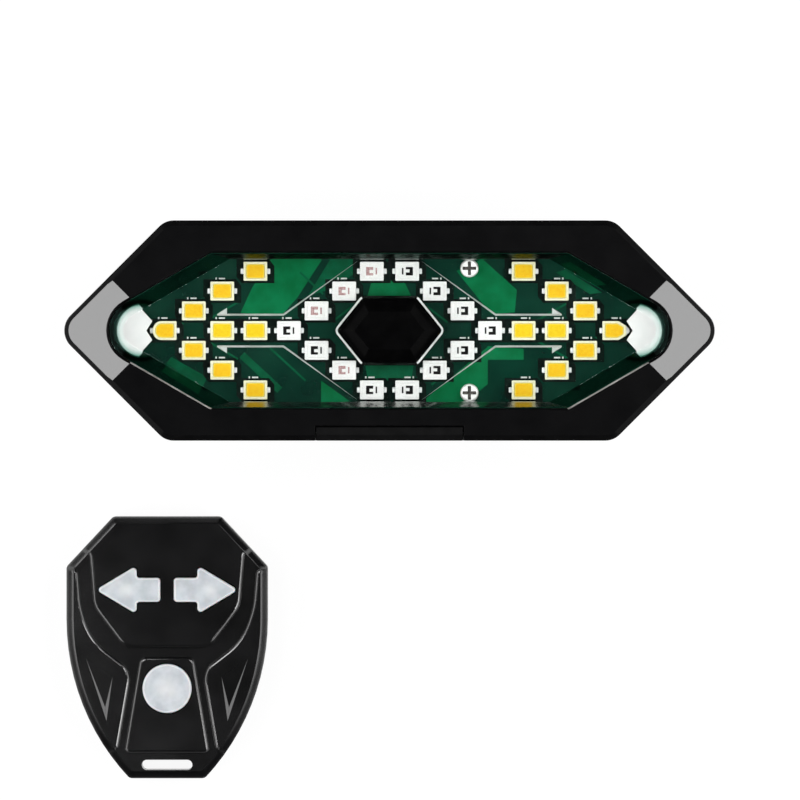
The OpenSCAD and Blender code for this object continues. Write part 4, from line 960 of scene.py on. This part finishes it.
# The charging flap: soft black rubber, moulded in one with the plug for the socket. It hinges on a bead below
# the socket, and has a pull lip at the front.
flap_rubber = finish("flap_rubber", {"IOR": 1.45, "Specular IOR Level": 0.06})
tint(flap_rubber, 2 * mm, (0.0025, 0.0025, 0.0026), (0.004, 0.004, 0.0042))
grain(flap_rubber, 0.15 * mm, 0.006 * mm, 0.45, 0.6)
rounded_copy("port_flap", "rubber_flap", flap_rubber, 0.2 * mm, "port_flap", "black_rubber")


# The four screws in the back of the lamp: steel, with a cross slot. Their heads are sunk in the tub, and they
# hold it to the bezel.
rounded_copy("housing_screws", "back_screws", steel, 0.12 * mm, "lamp", "steel")


# The seat-post bracket: a satin black saddle block whose T-shaped tongue slides between the tub's rails, with
# four pegs for rubber rings. A rubber pad lines its groove.
rounded_copy("seatpost_bracket", "saddle_block", satin_black, 0.35 * mm, "bracket", "satin_black_plastic")
rounded_copy("saddle_pad", "groove_pad", rubber, 0.2 * mm, "bracket", "black_rubber")


# The remote's back shell: a shallow satin black tray that holds the board and the coin cell, with a round
# battery door and four screws. Two brass contacts touch the top and the rim of the cell.
rounded_copy("remote_bottom_shell", "remote_tray", satin_black, 0.2 * mm, "remote", "satin_black_plastic")
rounded_copy("battery_door", "bayonet_door", satin_black, 0.15 * mm, "battery_door", "satin_black_plastic")
rounded_copy("remote_screws", "tray_screws", steel, 0.1 * mm, "remote", "steel")

brass = finish("contact_brass", {"Metallic": 1.0})
tint(brass, 0.6 * mm, (0.7, 0.55, 0.25), (0.82, 0.66, 0.34))
grain(brass, 0.15 * mm, 0.002 * mm, 0.25, 0.35)
dress("contact_brass", brass, "coin_cell_spring", "coin_cell_clip")


# The keys: milky silicone, moulded on one thin sheet that lies behind the front shell's face. Two arrows and
# a round key stand through the shell. Their rounded upper edges carry a painted highlight, and their tops a
# painted glow.
def silicone(name, dark, light, glow=None, reach=1.0):
    """Milky silicone, paler towards a painted glow that reaches a given distance."""
    material = finish(name, {"IOR": 1.41, "Subsurface Weight": 0.2, "Subsurface Scale": 0.6 * mm})
    tint(material, 1.6 * mm, dark, light)
    grain(material, 0.25 * mm, 0.003 * mm, 0.35, 0.5)
    if glow:
        tree = material.node_tree
        colour = tree.nodes["Principled BSDF"].inputs["Base Color"].links[0].from_socket
        place = add_node(tree, "TexCoord").outputs["Object"]
        away = add_node(tree, "VectorMath", {0: place, 1: glow}, operation="DISTANCE").outputs["Value"]
        share = add_node(tree, "MapRange", {"Value": away, "From Min": 0.0, "From Max": reach, "To Min": 0.6,
            "To Max": 0.0}, interpolation_type="SMOOTHSTEP").outputs[0]
        # the glow's pale colour is painted light
        mixed = add_node(tree, "Mix", {0: share, 6: colour, 7: (0.7, 0.71, 0.71, 1)}, data_type="RGBA")
        drive(material, "Base Color", mixed.outputs[2])
    return material


key_round = 0.3 * mm
milky = ((0.42, 0.45, 0.48), (0.53, 0.56, 0.59))
plain_silicone = silicone("translucent_silicone", *milky)
dress("translucent_silicone", plain_silicone, "key_sheet")
key_rim_highlight_paint = silicone("silicone_with_painted_rim_highlight", (0.6, 0.62, 0.64), (0.68, 0.7, 0.71))
for name, shift, reach in (("left_key", -0.6, 1.8), ("right_key", 0.9, 1.6), ("mode_key", 0, 2.6)):
    low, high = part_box(name)
    glow = ((low.x + high.x) / 2 + shift * mm, (low.y + high.y) / 2, high.z)
    key_silicone = silicone(name + "_silicone", *milky, glow, reach * mm)
    key = copy_of(name, name + "_cap", key_silicone, key_rim_highlight_paint)
    # painted highlight on the keys' rounded upper edges
    bevel_edges(key, top_edge, key_round, 4, key_rim_highlight_paint)
    smooth(key)
    fit(key, name, "translucent_silicone", name)


# The remote's front shell: black plastic with raised panels whose edges are softly rounded, V-shaped notches
# with dull floors in the wings, and a slot for the lanyard. Its bevelled rim is glossy at the arrow keys' end
# and grows dull towards the slot.
shell_gloss, dull_gloss = 0.8, 0.04
panel_round, rim_radius = 0.45 * mm, 0.8 * mm


def shell_finish(name, smoothest, roughest):
    """The glossy black of the shell."""
    material = finish(name, {"IOR": 1.55, "Specular IOR Level": shell_gloss})
    tint(material, 5 * mm, (0.0028, 0.0028, 0.003), (0.0045, 0.0045, 0.0048))
    grain(material, 0.4 * mm, 0.0005 * mm, smoothest, roughest)
    return material


shell_black = shell_finish("remote_black", 0.1, 0.14)
rim_black = shell_finish("remote_rim", 0.12, 0.17)
shell_low, shell_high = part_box("remote_top_shell")
dull_end, dull_start = shell_low.y + 5.5 * mm, shell_low.y + 19 * mm
tree = rim_black.node_tree
soft_edge = add_node(tree, "Bevel", {"Radius": rim_radius}, samples=8)
tree.links.new(soft_edge.outputs[0], tree.nodes["Bump"].inputs["Normal"])
place = add_node(tree, "TexCoord").outputs["Object"]
along = add_node(tree, "SeparateXYZ", {"Vector": place}).outputs["Y"]
gloss = add_node(tree, "MapRange", {"Value": along, "From Min": dull_end, "From Max": dull_start,
    "To Min": dull_gloss, "To Max": shell_gloss})
drive(rim_black, "Specular IOR Level", gloss.outputs[0])
front_shell = copy_of("remote_top_shell", "remote_front", shell_black, rim_black, deep_black)
rim_slot = slot_of(front_shell, rim_black)


def panel_edge(edge, low_face, high_face):
    """An upper edge of a raised panel, over a wall that is as deep as the grooves."""
    deep = shell_high.z - min(vertex.co.z for vertex in low_face.verts)
    steep = high_face.normal.z > 0.97 and abs(low_face.normal.z) < 0.1
    return level_at(edge, shell_high.z) and steep and 0.5 * mm < deep < 0.75 * mm


paint(front_shell, rim_black, lambda place, normal: 0.65 < normal.z < 0.8)
bevel_edges(front_shell, panel_edge, panel_round, 5)
round_edges(front_shell, edge_round, 4, 40)
smooth(front_shell, 25)

# the rounded edges beside the dull stretch of the rim take its finish
mesh = edit(front_shell, "FACE")
for face in mesh.faces:
    face.select_set(face.material_index == rim_slot)
bmesh.update_edit_mesh(front_shell.data)
for step in range(2):
    bpy.ops.mesh.select_more()
mesh = bmesh.from_edit_mesh(front_shell.data)
for face in mesh.faces:
    if face.select and face.normal.z < nearly_level and face.calc_center_median().y < dull_start:
        face.material_index = rim_slot
bmesh.update_edit_mesh(front_shell.data)
bpy.ops.object.mode_set(mode="OBJECT")
paint(front_shell, deep_black, lambda place, normal: 0.99 < normal.z < 0.9995)
keep_flat(front_shell)
fit(front_shell, "remote", "satin_black_plastic", "remote_top_shell")
